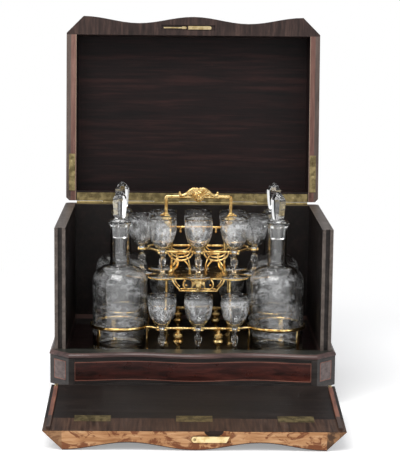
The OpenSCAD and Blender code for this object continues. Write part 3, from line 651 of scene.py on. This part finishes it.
GLASS = data_mesh("liqueur_glass_mesh", *glass(), M_GLASS)
for kind, spots, z0, turn0 in (("lower", LOWER, STAND, 0), ("upper", UPPER, USTAND, 0.4)):
    for i, (x, y) in enumerate(spots):
        add(f"liqueur_glass_{kind}_{i + 1}", GLASS, f"{kind}_glass_body_{i + 1}",
            (f"{kind}_glass_{i + 1}",), (CX + x, CY + y, z0), 1.3 * i + turn0)

# decanters and stoppers
DECANTER_H, DECANTER_R = 157.0, 33.0


def dome(r0, r1, z0, z1, n=12):
    out = []
    for i in range(n + 1):
        a = math.radians(90 * i / n)
        out.append((r1 + (r0 - r1) * math.cos(a), z0 + (z1 - z0) * math.sin(a)))
    return out


def decanter():
    """Cylindrical body with a round shoulder, slim neck and flared lip, hollow."""
    r = DECANTER_R
    neck = [(12.4, 107), (11.6, 116), (11.3, 128), (11.4, 140), (11.9, 148), (12.6, 152.2)]
    outer = [(0, 1.6), (26, 1.6), (29, 0.2), (30.6, 0.2), (32.4, 1.6), (32.9, 4), (r, 20), (r, 45), (r, 70)]
    outer += dome(r, 12.8, 84, 103.5) + [tuple(q) for q in smooth_line(neck, 4)]
    outer += [(13.6, 153.6), (14.0, 154.8), (13.9, 156.2), (13.2, 156.9), (12.2, DECANTER_H)]
    inner = [(10.2, 156.6), (9.8, 154), (9.75, 110), (10.4, 102.5)] + dome(30.4, 10.6, 82.5, 101)[::-1]
    inner += [(30.4, 60), (30.4, 12), (29, 7), (24, 5), (0, 4.6)]
    return lathe_data(outer + inner, 96)


def stopper():
    """Ground plug with a collar under a spire of six facets."""
    plug = [(0, -20), (8.2, -20), (8.7, -19.4), (9.3, -3), (9.4, 0.2), (11.2, 0.4), (12.2, 0.9), (12.2, 1.7),
            (10.5, 2.3), (6.2, 3), (5.2, 3.6), (0, 3.6)]
    spire = [(5.2, 3.2), (6.6, 5), (7.5, 8.5), (8.5, 17), (9.1, 25), (8.9, 28.5), (5.2, 34.2), (0.7, 37.8)]
    verts, faces = [], []
    for i, (r, z) in enumerate(spire):
        for k in range(6):
            a = math.pi * k / 3 + 0.35
            verts.append((r * math.cos(a), r * math.sin(a), z))
        if i:
            faces += quads(i * 6 - 6, i * 6, 6)
    faces.append(list(range(6))[::-1])
    faces.append([(len(spire) - 1) * 6 + k for k in range(6)])
    return join(lathe_data(plug, 48), (verts, faces))


DECANTER = data_mesh("decanter_mesh", *decanter(), M_DECANTER)
STOPPER = data_mesh("stopper_mesh", *stopper(), M_STOPPER, smooth=False)
for i, (x, y) in enumerate(DEC):
    add(f"crystal_decanter_{i + 1}", DECANTER, f"decanter_body_{i + 1}", (f"decanter_{i + 1}",),
        (CX + x, CY + y, STAND), 0.7 * i)
    add(f"crystal_stopper_{i + 1}", STOPPER, f"stopper_body_{i + 1}", (f"stopper_{i + 1}",),
        (CX + x, CY + y, STAND + DECANTER_H), 0.5 * i)


# gilt work of the caddy, in millimetres from the caddy's centre
def local(p):
    return (CX + p[0], CY + p[1], p[2])


def line(a, b, n):
    a, b = np.array(a, float), np.array(b, float)
    return [a + (b - a) * i / (n - 1) for i in range(n)]


def arc(c, r, a0, a1, n, plane="xy", squash=1.0):
    out = []
    for i in range(n):
        a = math.radians(a0 + (a1 - a0) * i / (n - 1))
        u, v = r * math.cos(a), r * squash * math.sin(a)
        out.append((c[0] + u, c[1] + v, c[2]) if plane == "xy" else (c[0] + u, c[1], c[2] + v))
    return out


def spiral(c, r0, turns, a0, n):
    """Scroll eye that winds in clockwise, in the XZ plane."""
    out = []
    for i in range(n):
        t = i / (n - 1)
        a = math.radians(a0) - 2 * math.pi * turns * t
        r = r0 * (1 - 0.8 * t)
        out.append((c[0] + r * math.cos(a), c[1], c[2] + r * math.sin(a)))
    return out


def both(*parts):
    """The parts and their mirror image in X."""
    verts, faces = join(*parts)
    return join((verts, faces), ([(-x, y, z) for x, y, z in verts], [f[::-1] for f in faces]))


def leaf(path, width, thick, ribs=5):
    """Acanthus leaf along a path, ribbed and pointed, facing -Y."""
    p = smooth_line(path)
    n, m = len(p), 9
    back = np.array([0, 1.0, 0])
    across = [k / (m - 1) * 2 - 1 for k in range(m)]
    verts, faces = [], []
    for i in range(n):
        t = p[min(i + 1, n - 1)] - p[max(i - 1, 0)]
        side = np.cross(t / np.linalg.norm(t), back)
        u = i / (n - 1)
        w = width * (math.sin(math.pi * min(1, u * 0.93 + 0.1)) ** 0.7 + 0.06)
        w *= 1 + 0.16 * abs(math.sin(ribs * math.pi * u))
        for f in across:
            h = thick * (0.55 * (1 - f * f) + 0.45 * abs(math.cos(2.5 * math.pi * f)))
            verts.append(tuple(p[i] + side * f * w - back * h))
        for f in across:
            verts.append(tuple(p[i] + side * f * w + back * thick * 0.35))
    for i in range(n - 1):
        a, b = i * 2 * m, (i + 1) * 2 * m
        faces += quads(a, b, m, loop=False)
        faces += [q[::-1] for q in quads(a + m, b + m, m, loop=False)]
        faces.append([a, b, b + m, a + m])
        faces.append([a + m - 1, a + 2 * m - 1, b + 2 * m - 1, b + m - 1])
    for a in (0, (n - 1) * 2 * m):
        faces.append([a + k for k in range(m)] + [a + m + k for k in range(m - 1, -1, -1)])
    return verts, faces


def squared(path, r, seg=16):
    """Bar of rounded-square section."""
    v, f = sweep(path, 1.0, seg)
    out = []
    for i, p in enumerate(path):
        for k in range(seg):
            a = 2 * math.pi * k / seg
            q = (abs(math.cos(a)) ** 4 + abs(math.sin(a)) ** 4) ** -0.25
            out.append(tuple(np.array(p) + (np.array(v[i * seg + k]) - p) * r * q))
    return out, f


def bail():
    """Square-shouldered bail with a scroll, a leaf and collars on each post."""
    hh, hz, az = HANDLE_HALF, HANDLE_Z, ARCH_Z
    rise = [(-hh, 0, z) for z in (209, 216, 223, 230, hz - 2.6)]
    rise += arc((-hh + 1.6, 0, hz - 1.6), 1.6, 170, 100, 4, "xz")
    path = rise + line((-hh + 3, 0, hz), (hh - 3, 0, hz), 12) + [(-x, y, z) for x, y, z in rise[::-1]]
    collar = [(0, -1.4), (2.6, -1.4), (3.3, -0.4), (3.1, 0.6), (2.2, 1.4), (0, 1.4)]
    veins = [(hh + x, -1.4, az + z) for x, z in ((3.2, 13.9), (0.4, 8.9), (-3.2, 3.9), (-6.2, -2.1))]
    eye = [1.25 - 0.02 * i for i in range(24)]
    return join(squared(path, 2.15), both(
        sweep(arc((hh + 7, 0, az + 3.2), 14, 102, 184, 22, "xz"), swell(22, 1.5, 1.1), 12),
        leaf(veins, 3.1, 1.5),
        sweep(spiral((hh + 4.4, -0.6, az + 13), 3.0, 1.15, 130, len(eye)), eye, 10),
        ball((hh + 4.4, -0.9, az + 13), 1.7),
        shift(lathe_data(collar, 20), (hh, 0, az + 17)),
        ball((hh, 0, az + 14.4), 2.9, (1, 0.9, 0.7))))


def arch():
    """Two posts and a leafy rod under the handle, with four pendant drops."""
    foot = [(0, 0), (4.2, 0), (4.2, 1), (2.6, 2.4), (1.8, 5), (0, 5)]
    drop = [(0, -6.6), (1.0, -6.2), (1.9, -4.6), (1.2, -3.2), (0.8, -2.2), (1.9, -1.2), (0.9, 0), (0, 0)]
    heights = (ARCH_Z, 188, 172, 155, USTAND)
    return join(
        both(sweep([(ARCH_HALF, 0, z) for z in heights], [1.9, 1.7, 1.7, 1.8, 2.2], 14),
             ball((ARCH_HALF, 0, ARCH_Z - 0.2), 3.0, (1, 1, 0.9)),
             shift(lathe_data(foot, 20), (ARCH_HALF, 0, USTAND))),
        sweep(line((-ARCH_HALF, 0, ARCH_Z), (ARCH_HALF, 0, ARCH_Z), 67), knobbed(67, 1.45, 22, 0.16), 12),
        *[shift(lathe_data(drop, 14), (x, 0, ARCH_Z - 1.2)) for x in (-22, -7.5, 7.5, 22)])


def crest():
    """Two curled wings over a fan of leaves, with a rosette of eight petals and an arc of beads."""
    cz = HANDLE_Z + 2.0
    rz = cz - 0.6
    curl = [(23.4, 2.6), (22.6, 0.6), (20, -0.4), (15.5, 1.4), (11, 5.4), (7, 8.2), (3.6, 8.6), (0.8, 6.4)]
    wing = smooth_line([(x, -1.2, cz + z) for x, z in curl])
    last = len(wing) - 1
    rad = [0.9 + 1.5 * math.sin(math.pi * min(1, i / last + 0.12)) ** 0.8 for i in range(len(wing))]
    parts = [sweep(wing, rad, 12, 1.2), ball((23.4, -1.2, cz + 3.2), 1.5)]
    fan = ((2.2, 3.6, 4.8, 9.6, 2.2), (4.6, 2.6, 10.2, 6.4, 2.2), (7.4, 0.8, 15.0, 2.6, 1.9),
           (1.0, 5, 1.9, 9.9, 1.7))
    for x0, z0, x1, z1, w in fan:
        middle = ((x0 + x1) / 2 + 0.5, -2.8, cz + (z0 + z1) / 2 + 0.6)
        parts.append(leaf([(x0, -2.2, cz + z0), middle, (x1, -2.2, cz + z1)], w, 1.3, 3))
    boss = lathe_data([(0, -2.6), (6.9, -2.6), (6.9, 2.6), (6.2, 3.2), (0, 3.2)], 32)
    centre = [sweep(arc((0, -2.6, rz), 6.7, 0, 360, 40, "xz"), 1.0, 10, ends=False),
              ([(x, -z, y + rz) for x, y, z in boss[0]], boss[1]),
              ball((0, -5.0, rz), 1.9), ball((0, -5.0, cz + 8.4), 0.9)]
    for k in range(8):
        a = math.pi * k / 4
        centre.append(ball((4.0 * math.cos(a), -3.6, rz + 4.0 * math.sin(a)), 2.5, (1, 0.55, 1), 12, 7))
    for a in np.linspace(0.25, math.pi - 0.25, 9):
        centre.append(ball((9.3 * math.cos(a), -2.9, cz + 0.4 + 7.9 * math.sin(a)), 0.85, u=8, w=5))
    return join(both(*parts), *centre)


def clip_work(x, y, z, toward, r=5.85):
    """Open hook round a stem, with ball tips; its mouth looks along `toward` degrees."""
    c = arc((x, y, z), r, toward + 48, toward + 312, 22)
    return join(sweep(c, swell(22, 1.0, 0.35), 10), ball(c[0], 1.75, u=10, w=6), ball(c[-1], 1.75, u=10, w=6))


def rail_work(y, z, clips, stop=49.0):
    """Cast rail between two rings; leaf knots between the glasses."""
    n = 99
    rad = []
    for i in range(n):
        knot = math.exp(-((abs(i - n // 2) - 22) / 6) ** 2)
        rad.append(1.35 + 0.42 * abs(math.sin(math.pi * i / 3.5)) + 0.75 * knot)
    parts = [sweep(line((-stop, y, z), (stop, y, z), n), rad, 12)]
    for s in (-1, 1):
        centre, end = np.array([s * 96, math.copysign(45, y)]), np.array([s * stop, y])
        q = centre + (end - centre) / np.linalg.norm(end - centre) * 36.0
        mid = (end + q) / 2 + np.array([0, 1.2 if y < 0 else -1.2])
        parts.append(sweep(smooth_line([(*end, z), (*mid, z + 0.3), (*q, z)]), 1.55, 12))
        parts.append(ball((*end, z), 2.5, u=12, w=8))
        parts.append(ball((end[0] * 0.99, y - 2.4, z - 0.5), 1.7, u=10, w=6))
    return join(*parts, *[clip_work(x * 44, -75, z, -90) for x in clips])


def ring_work(x, y):
    """Ribbed decanter ring on three leaf-shaped legs with ball feet."""
    n, seg, ring_r, ring_z = 120, 12, 35.2, 84.4
    verts, faces = [], []
    for k in range(n):
        a = 2 * math.pi * k / n
        w = 1 + 0.07 * math.sin(30 * a)
        for j in range(seg):
            b = 2 * math.pi * j / seg
            r = ring_r + 1.0 * w * math.cos(b)
            verts.append((r * math.cos(a), r * math.sin(a), ring_z + 2.1 * w * math.sin(b)))
        faces += quads(k * seg, (k + 1) % n * seg, seg)
    parts = [(verts, faces)]
    leg = join(leaf([(0, 0, 84), (0.6, 0, 76), (-0.4, 0, 66), (0.5, 0, 55.4)], 2.5, 0.9, 4),
               ball((0, 0, 56.0), 1.8, (1.1, 0.7, 0.8), 10, 6))
    for k in range(3):
        a = math.atan2(math.copysign(1, y), math.copysign(1, x)) + 2 * math.pi * k / 3
        ca, sa = math.cos(a), math.sin(a)
        placed = []
        for px, py, pz in leg[0]:
            out = ring_r - py
            placed.append((out * ca - px * sa, out * sa + px * ca, pz))
        parts.append((placed, leg[1]))
    return shift(join(*parts), (x, y, 0))


def gallery_side(s):
    """One long side of the upper gallery: rail, hooks, double drops, curved struts and leaf scrolls."""
    y, z, foot = s * 24.1, UP_CLIP, USTAND
    parts = [sweep(line((-45, y, z), (45, y, z), 61), knobbed(61, 1.35, 20, 0.2), 12)]
    parts += [clip_work(x, s * 31, z, 90 * s) for x in (-44, 0, 44)]
    for m in (-1, 1):
        at = (m * 22, y - 0.6, z - 0.2)
        parts.append(sweep(arc(at, 15.2, 180, 360, 25, "xz", 0.70), swell(25, 1.15, 0.2), 10))
        parts.append(sweep(arc(at, 11.6, 180, 360, 21, "xz", 0.55), swell(21, 0.75, 0.25), 10))
        inner = smooth_line([(m * 17.5, y, z - 10.6), (m * 13.6, s * 22.4, z - 15),
                             (m * 10.8, s * 19.6, z - 21), (m * 9.4, s * 16.5, foot + 0.2)])
        parts.append(sweep(inner, swell(len(inner), 1.3, -0.25), 10))
        outer = smooth_line([(m * 24.8, y, z - 10.2), (m * 25.2, s * 22.6, z - 14.5),
                             (m * 27.8, s * 19.8, z - 20), (m * 34, s * 15.6, foot + 1.4)])
        parts.append(sweep(outer, 1.1, 10))
        scroll = [(m * 24.6, s * 23.4 - 0.6, z - 13), (m * 26.8, s * 21 - 0.6, z - 19),
                  (m * 30.4, s * 18.2 - 0.6, z - 23.5), (m * 34.5, s * 15.2 - 0.3, foot + 1.6)]
        parts.append(leaf(scroll, 1.7, 1.1, 4))
        parts.append(ball((m * 26.6, y - 0.4, z - 12.2), 1.5, u=10, w=6))
        side = smooth_line([(m * 45, y, z), (m * 52, y * 0.86, z + 1.0), (m * 58.5, y * 0.6, z + 1.6),
                            (m * 63.1, y * 0.33, z + 0.6)])
        parts.append(sweep(side, knobbed(len(side), 1.3, 6, 0.25), 10))
        parts.append(ball((m * 45, y, z), 2.3, u=10, w=6))
    return join(*parts)


def gallery_end(m):
    """Hook and short bar at one end of the upper gallery."""
    bar_z = UP_CLIP + 0.6
    return join(clip_work(m * 70, 0, UP_CLIP, 0 if m > 0 else 180),
                sweep(line((m * 63.1, -8, bar_z), (m * 63.1, 8, bar_z), 9), 1.35, 10))


def apron_side(s):
    """Acanthus drop, C scrolls and side struts over a double band, under the upper tray."""
    y, z1, z0 = s * 43.0, 140.0, 125.0
    parts = [sweep(line((-24, y, z0 + 0.9), (24, y, z0 + 0.9), 33), knobbed(33, 1.0, 10, 0.1), 10),
             sweep(line((-22, y, z0 + 3.6), (22, y, z0 + 3.6), 33), knobbed(33, 0.9, 10, 0.1), 10)]
    for m in (-1, 1):
        strut = [(m * 32, y, z1), (m * 29.6, y, z1 - 5), (m * 25.2, y, z0 + 5), (m * 22.5, y, z0 + 1)]
        parts.append(sweep(smooth_line(strut), 1.25, 10))
        thin = [(m * 28.5, y, z1), (m * 26.4, y, z1 - 4.6), (m * 22.4, y, z0 + 6)]
        parts.append(sweep(smooth_line(thin), 0.8, 10))
        a0 = 60 if m > 0 else 120
        parts.append(sweep(arc((m * 12.4, y, z0 + 9), 6.0, a0, a0 - m * 300, 26, "xz"),
                           [1.35 - 0.02 * i for i in range(26)], 10))
        parts.append(ball((m * 14.6, y + s * 0.2, z0 + 8.0), 1.9, u=10, w=6))
        small = [(m * 1.5, y - 0.8, z1 - 0.6), (m * 5.6, y - 1.2, z1 - 4.6), (m * 7.4, y - 0.8, z0 + 5.2)]
        parts.append(leaf(small, 2.4, 1.2, 3))
    parts.append(leaf([(0, y - 1.2, z1 - 0.4), (0.2, y - 1.8, z0 + 8), (0, y - 1.2, z0 - 0.6)], 3.4, 1.6, 5))
    return join(*parts)


def tray_beads():
    """Beads along the outline of the upper tray's round lobes."""
    beads = []
    for x, y in UPPER:
        for k in range(24):
            a = 2 * math.pi * k / 24
            qx, qy = x + 17.4 * math.cos(a), y + 17.4 * math.sin(a)
            clear = all((qx - u) ** 2 + (qy - w) ** 2 > 17.2 ** 2 for u, w in UPPER)
            if clear and not (abs(qx) < 44 and abs(qy) < 41):
                beads.append(ball((qx, qy, USTAND - 0.8), 1.05, (1, 1, 0.8), 8, 5))
    return join(*beads)


def gilt_piece(name, part, *nodes):
    piece(name, part, M_GILT, "caddy", nodes, place=local)


gilt_piece("gilt_bail", bail(), "handle")
gilt_piece("gilt_arch", arch(), "handle_arch")
gilt_piece("gilt_crest", crest(), "handle_ornament")
gilt_piece("gilt_front_rail", rail_work(-68.1, LOW_CLIP, (-1, 0, 1)), "front_rail")
gilt_piece("gilt_rear_rail", rail_work(57.0, LOW_CLIP, ()), "rear_rail")
for (x, y), nm in zip(DEC, ("ring_front_left", "ring_front_right", "ring_rear_left", "ring_rear_right")):
    gilt_piece("gilt_" + nm, ring_work(x, y), nm)
gallery = join(gallery_side(-1), gallery_side(1), gallery_end(-1), gallery_end(1))
gilt_piece("gilt_gallery", gallery, "upper_gallery")
gilt_piece("gilt_apron", join(apron_side(-1), apron_side(1)), "tray_apron")
gilt_piece("gilt_tray_beads", tray_beads())


# inlay on the plinth
def inlay(name, part, mat):
    piece(name, part, mat, "case", smooth=False)


def ribbon(x0, x1, z0, z1, out, n=60):
    """Thin strip on the waved front, `out` mm in front of the case's front line."""
    knots = [-BLOCK_X + 2 * BLOCK_X * i / WAVE_STEPS for i in range(WAVE_STEPS + 1)]
    heights = [wave_at(x) for x in knots]
    grow = PLINTH_WIDER + LEAN * PLINTH_OUT
    knots[0] -= grow
    knots[-1] += grow
    verts, faces = [], []
    for i in range(n + 1):
        x = x0 + (x1 - x0) * i / n
        y = FRONT_Y + float(np.interp(x, knots, heights)) - out
        verts += [(x, y, z0), (x, y, z1), (x, y + 0.5, z1), (x, y + 0.5, z0)]
        if i:
            faces += quads(i * 4 - 4, i * 4, 4)
    faces += [[0, 1, 2, 3], [n * 4 + 3, n * 4 + 2, n * 4 + 1, n * 4]]
    return verts, faces


def cant_plate(s, u0, u1, z0, z1, out):
    """Flat strip on a canted corner block; u runs along the cant from the front corner."""
    a = np.array([BLOCK_X + LEAN * PLINTH_OUT + PLINTH_WIDER, FRONT_Y - PLINTH_OUT])
    b = np.array([HALF_W + PLINTH_OUT + PLINTH_WIDER, FRONT_Y + CANT - LEAN * PLINTH_OUT])
    d = (b - a) / np.linalg.norm(b - a)
    nrm = np.array([d[1], -d[0]])
    verts = []
    for u in (u0, u1):
        for stand in (out, -0.3):
            q = a + d * u + nrm * stand
            verts += [(s * q[0], q[1], z0), (s * q[0], q[1], z1)]
    return verts, [[0, 1, 5, 4], [2, 6, 7, 3], [0, 2, 3, 1], [4, 5, 7, 6], [0, 4, 6, 2], [1, 3, 7, 5]]


STRING_W = 1.1
VENEER_X, VENEER_Z0, VENEER_Z1 = 139.0, FOOT_H + 7.5, LAND_Z - 10.5
inlay("plinth_veneer", ribbon(-VENEER_X, VENEER_X, VENEER_Z0 + 1.2, VENEER_Z1 - 1.2, 1.05), M_VENEER)
for nm, z in (("low", VENEER_Z0), ("high", VENEER_Z1 - STRING_W)):
    inlay(f"plinth_string_{nm}", ribbon(-VENEER_X, VENEER_X, z, z + STRING_W, 1.15), M_STRING)
for nm, x in (("left", -VENEER_X - STRING_W), ("right", VENEER_X)):
    inlay(f"plinth_string_{nm}", ribbon(x, x + STRING_W, VENEER_Z0, VENEER_Z1, 1.15, n=2), M_STRING)
cant_l = math.hypot(CANT, CANT) - 0.5
low, high, inset = FOOT_H + 8, LAND_Z - 10, 5
for s, nm in ((-1, "left"), (1, "right")):
    far = cant_l - inset
    inlay(f"block_field_{nm}", cant_plate(s, inset + 0.5, far - 0.5, low + 1, high - 1, 0.12), M_BLOCK)
    strings = ((inset, far, low, low + 1), (inset, far, high - 1, high),
               (inset, inset + 1, low, high), (far - 1, far, low, high))
    for k, box in enumerate(strings):
        inlay(f"block_string_{nm}_{k + 1}", cant_plate(s, *box, 0.2), M_STRING)


# screws
def screw_data(r, slot_a):
    """Countersunk head with a turned slot, standing along +Z."""
    head = lathe_data([(0, -0.2), (r * 0.9, -0.2), (r, 0.12), (r * 0.85, 0.28), (0, 0.34)], 20)
    c, s = math.cos(slot_a), math.sin(slot_a)
    bar = []
    for x, y in ((-r * 0.8, -0.16), (r * 0.8, -0.16), (r * 0.8, 0.16), (-r * 0.8, 0.16)):
        bar += [(x * c - y * s, x * s + y * c, z) for z in (0.2, 0.37)]
    sides = [[0, 1, 3, 2], [2, 3, 5, 4], [4, 5, 7, 6], [6, 7, 1, 0]]
    return join(head, (bar, [[0, 2, 4, 6], [1, 3, 5, 7]] + sides))


def down(q):
    return (q[0], q[1], -q[2])


def back(q):
    return (q[0], q[2], q[1])


def screws(name, spots, r, body, place, facing):
    """Heads at spots of the closed box; facing turns them from +Z to their face."""
    parts = []
    for i, p in enumerate(spots):
        v, f = screw_data(r, 0.6 + 1.7 * i)
        parts.append(shift(([facing(q) for q in v], f), p))
    piece(name, join(*parts), M_SCREW, body, smooth=False, place=place)


PLATE_SPOTS = [(i * 112.0, PANEL_FACE, PANEL_Z1 - 38) for i in (-1, 0, 1)]
CORNER_SPOTS = [(s * 157.5, IN_REAR - 24 + y, LID_Z0) for s in (-1, 1) for y in (-14, 4)]
HINGE_SPOTS = [(-132 + 33 * i, REAR_Y - 5.2, LID_Z0) for i in range(9)]
screws("plate_screws", PLATE_SPOTS, 1.9, "panel", on_panel, back)
screws("lid_plate_screws", CORNER_SPOTS, 1.7, "lid", on_lid, down)
screws("hinge_screws", HINGE_SPOTS, 1.5, "lid", on_lid, down)


# floor, light and camera
def floor_material():
    """Pale floor that takes the object's shadow and turns to plain white away from it."""
    m = Mat("pale_floor")
    v = m.coord()
    tone = m.ramp(m.noise(v, 3, 3), [(0.3, (0.86, 0.86, 0.865)), (0.7, (0.9, 0.9, 0.905))])
    rays = m.new("ShaderNodeLightPath").outputs
    see = m.math("MAXIMUM", rays["Is Glossy Ray"], rays["Is Transmission Ray"])
    see = m.math("MAXIMUM", rays["Is Camera Ray"], see)
    pale = m.shader(Base_Color=tone, Roughness=0.7, Specular_IOR_Level=0.15)
    lift = m.new("ShaderNodeEmission")
    lift.inputs["Color"].default_value = (1, 1, 1, 1)
    lift.inputs["Strength"].default_value = 0.3
    near = m.new("ShaderNodeAddShader")
    m.put(near.inputs[0], pale)
    m.put(near.inputs[1], lift.outputs[0])
    x, y, z = m.sep(v)
    far = m.math("SQRT", m.math("ADD", m.math("MULTIPLY", x, x), m.math("MULTIPLY", y, y)))
    fade = m.new("ShaderNodeMixShader")
    m.put(fade.inputs[0], m.step(far, 0.3, 0.85))
    m.put(fade.inputs[1], near.outputs[0])
    m.put(fade.inputs[2], m.new("ShaderNodeEmission").outputs[0])
    seen = m.new("ShaderNodeMixShader")
    m.put(seen.inputs[0], see)
    m.put(seen.inputs[1], pale)
    m.put(seen.inputs[2], fade.outputs[0])
    return m.finish(seen.outputs[0])


floor_mesh = bpy.data.meshes.new("floor")
floor_mesh.from_pydata([(-6, -4, 0), (6, -4, 0), (6, 9, 0), (-6, 9, 0)], [], [[0, 1, 2, 3]])
floor_mesh.materials.append(floor_material())
floor = bpy.data.objects.new("floor", floor_mesh)
bpy.context.collection.objects.link(floor)


def backdrop():
    """World that lights softly and is plain white where the camera or glass looks at it."""
    world = bpy.data.worlds.new("studio")
    bpy.context.scene.world = world
    world.use_nodes = True
    nt = world.node_tree
    nt.nodes.clear()
    soft = nt.nodes.new("ShaderNodeBackground")
    soft.inputs["Color"].default_value = (0.97, 0.98, 1, 1)
    soft.inputs["Strength"].default_value = 0.55
    white = nt.nodes.new("ShaderNodeBackground")
    white.inputs["Color"].default_value = (1, 1, 1, 1)
    white.inputs["Strength"].default_value = 1.0
    rays = nt.nodes.new("ShaderNodeLightPath").outputs
    seen = nt.nodes.new("ShaderNodeMath")
    seen.operation = "MAXIMUM"
    nt.links.new(rays["Is Camera Ray"], seen.inputs[0])
    nt.links.new(rays["Is Transmission Ray"], seen.inputs[1])
    mixed = nt.nodes.new("ShaderNodeMixShader")
    nt.links.new(seen.outputs[0], mixed.inputs[0])
    nt.links.new(soft.outputs[0], mixed.inputs[1])
    nt.links.new(white.outputs[0], mixed.inputs[2])
    out = nt.nodes.new("ShaderNodeOutputWorld")
    nt.links.new(mixed.outputs[0], out.inputs["Surface"])


def area(name, at, size, power, color=(1, 1, 1)):
    """Rectangular lamp that looks at the middle of the case."""
    lamp = bpy.data.lights.new(name, "AREA")
    lamp.shape = "RECTANGLE"
    lamp.size, lamp.size_y = size
    lamp.energy = power
    lamp.color = color
    o = bpy.data.objects.new(name, lamp)
    bpy.context.collection.objects.link(o)
    o.location = at
    o.rotation_mode = "QUATERNION"
    o.rotation_quaternion = (Vector((0, 0, 0.15)) - Vector(at)).to_track_quat("-Z", "Y")


backdrop()
area("key", (-0.5, -1.3, 2.0), (1.6, 1.2), 34, (1, 0.985, 0.96))
area("fill", (1.6, -1.5, 0.9), (1.0, 1.4), 12, (0.97, 0.98, 1))
area("side", (-1.7, -0.6, 0.8), (0.8, 1.4), 10)

# camera fitted to the corners of the case in the photograph
SENSOR, FOCAL_PX, TALL_PX = 36, 1672.83, 475
CAM_AT = (-0.0257, -2.0487, 0.5151)
CAM_YAW, CAM_PITCH, CAM_ROLL = (math.radians(a) for a in (0.96, 9.12, 0.59))
cam = bpy.data.cameras.new("camera")
cam.lens, cam.sensor_width, cam.sensor_fit = FOCAL_PX / TALL_PX * SENSOR, SENSOR, "AUTO"
cam.clip_start, cam.clip_end = 0.05, 50
camera = bpy.data.objects.new("camera", cam)
bpy.context.collection.objects.link(camera)
flat = math.cos(CAM_PITCH)
ahead = Vector((math.sin(CAM_YAW) * flat, math.cos(CAM_YAW) * flat, -math.sin(CAM_PITCH)))
level = Vector((math.cos(CAM_YAW), -math.sin(CAM_YAW), 0))
upright = level.cross(ahead)
right = level * math.cos(CAM_ROLL) + upright * math.sin(CAM_ROLL)
above = upright * math.cos(CAM_ROLL) - level * math.sin(CAM_ROLL)
pose = Matrix((right, above, -ahead)).transposed().to_4x4()
pose.translation = Vector(CAM_AT)
camera.matrix_world = pose
bpy.context.scene.camera = camera
bpy.context.scene.view_settings.view_transform = "Standard"
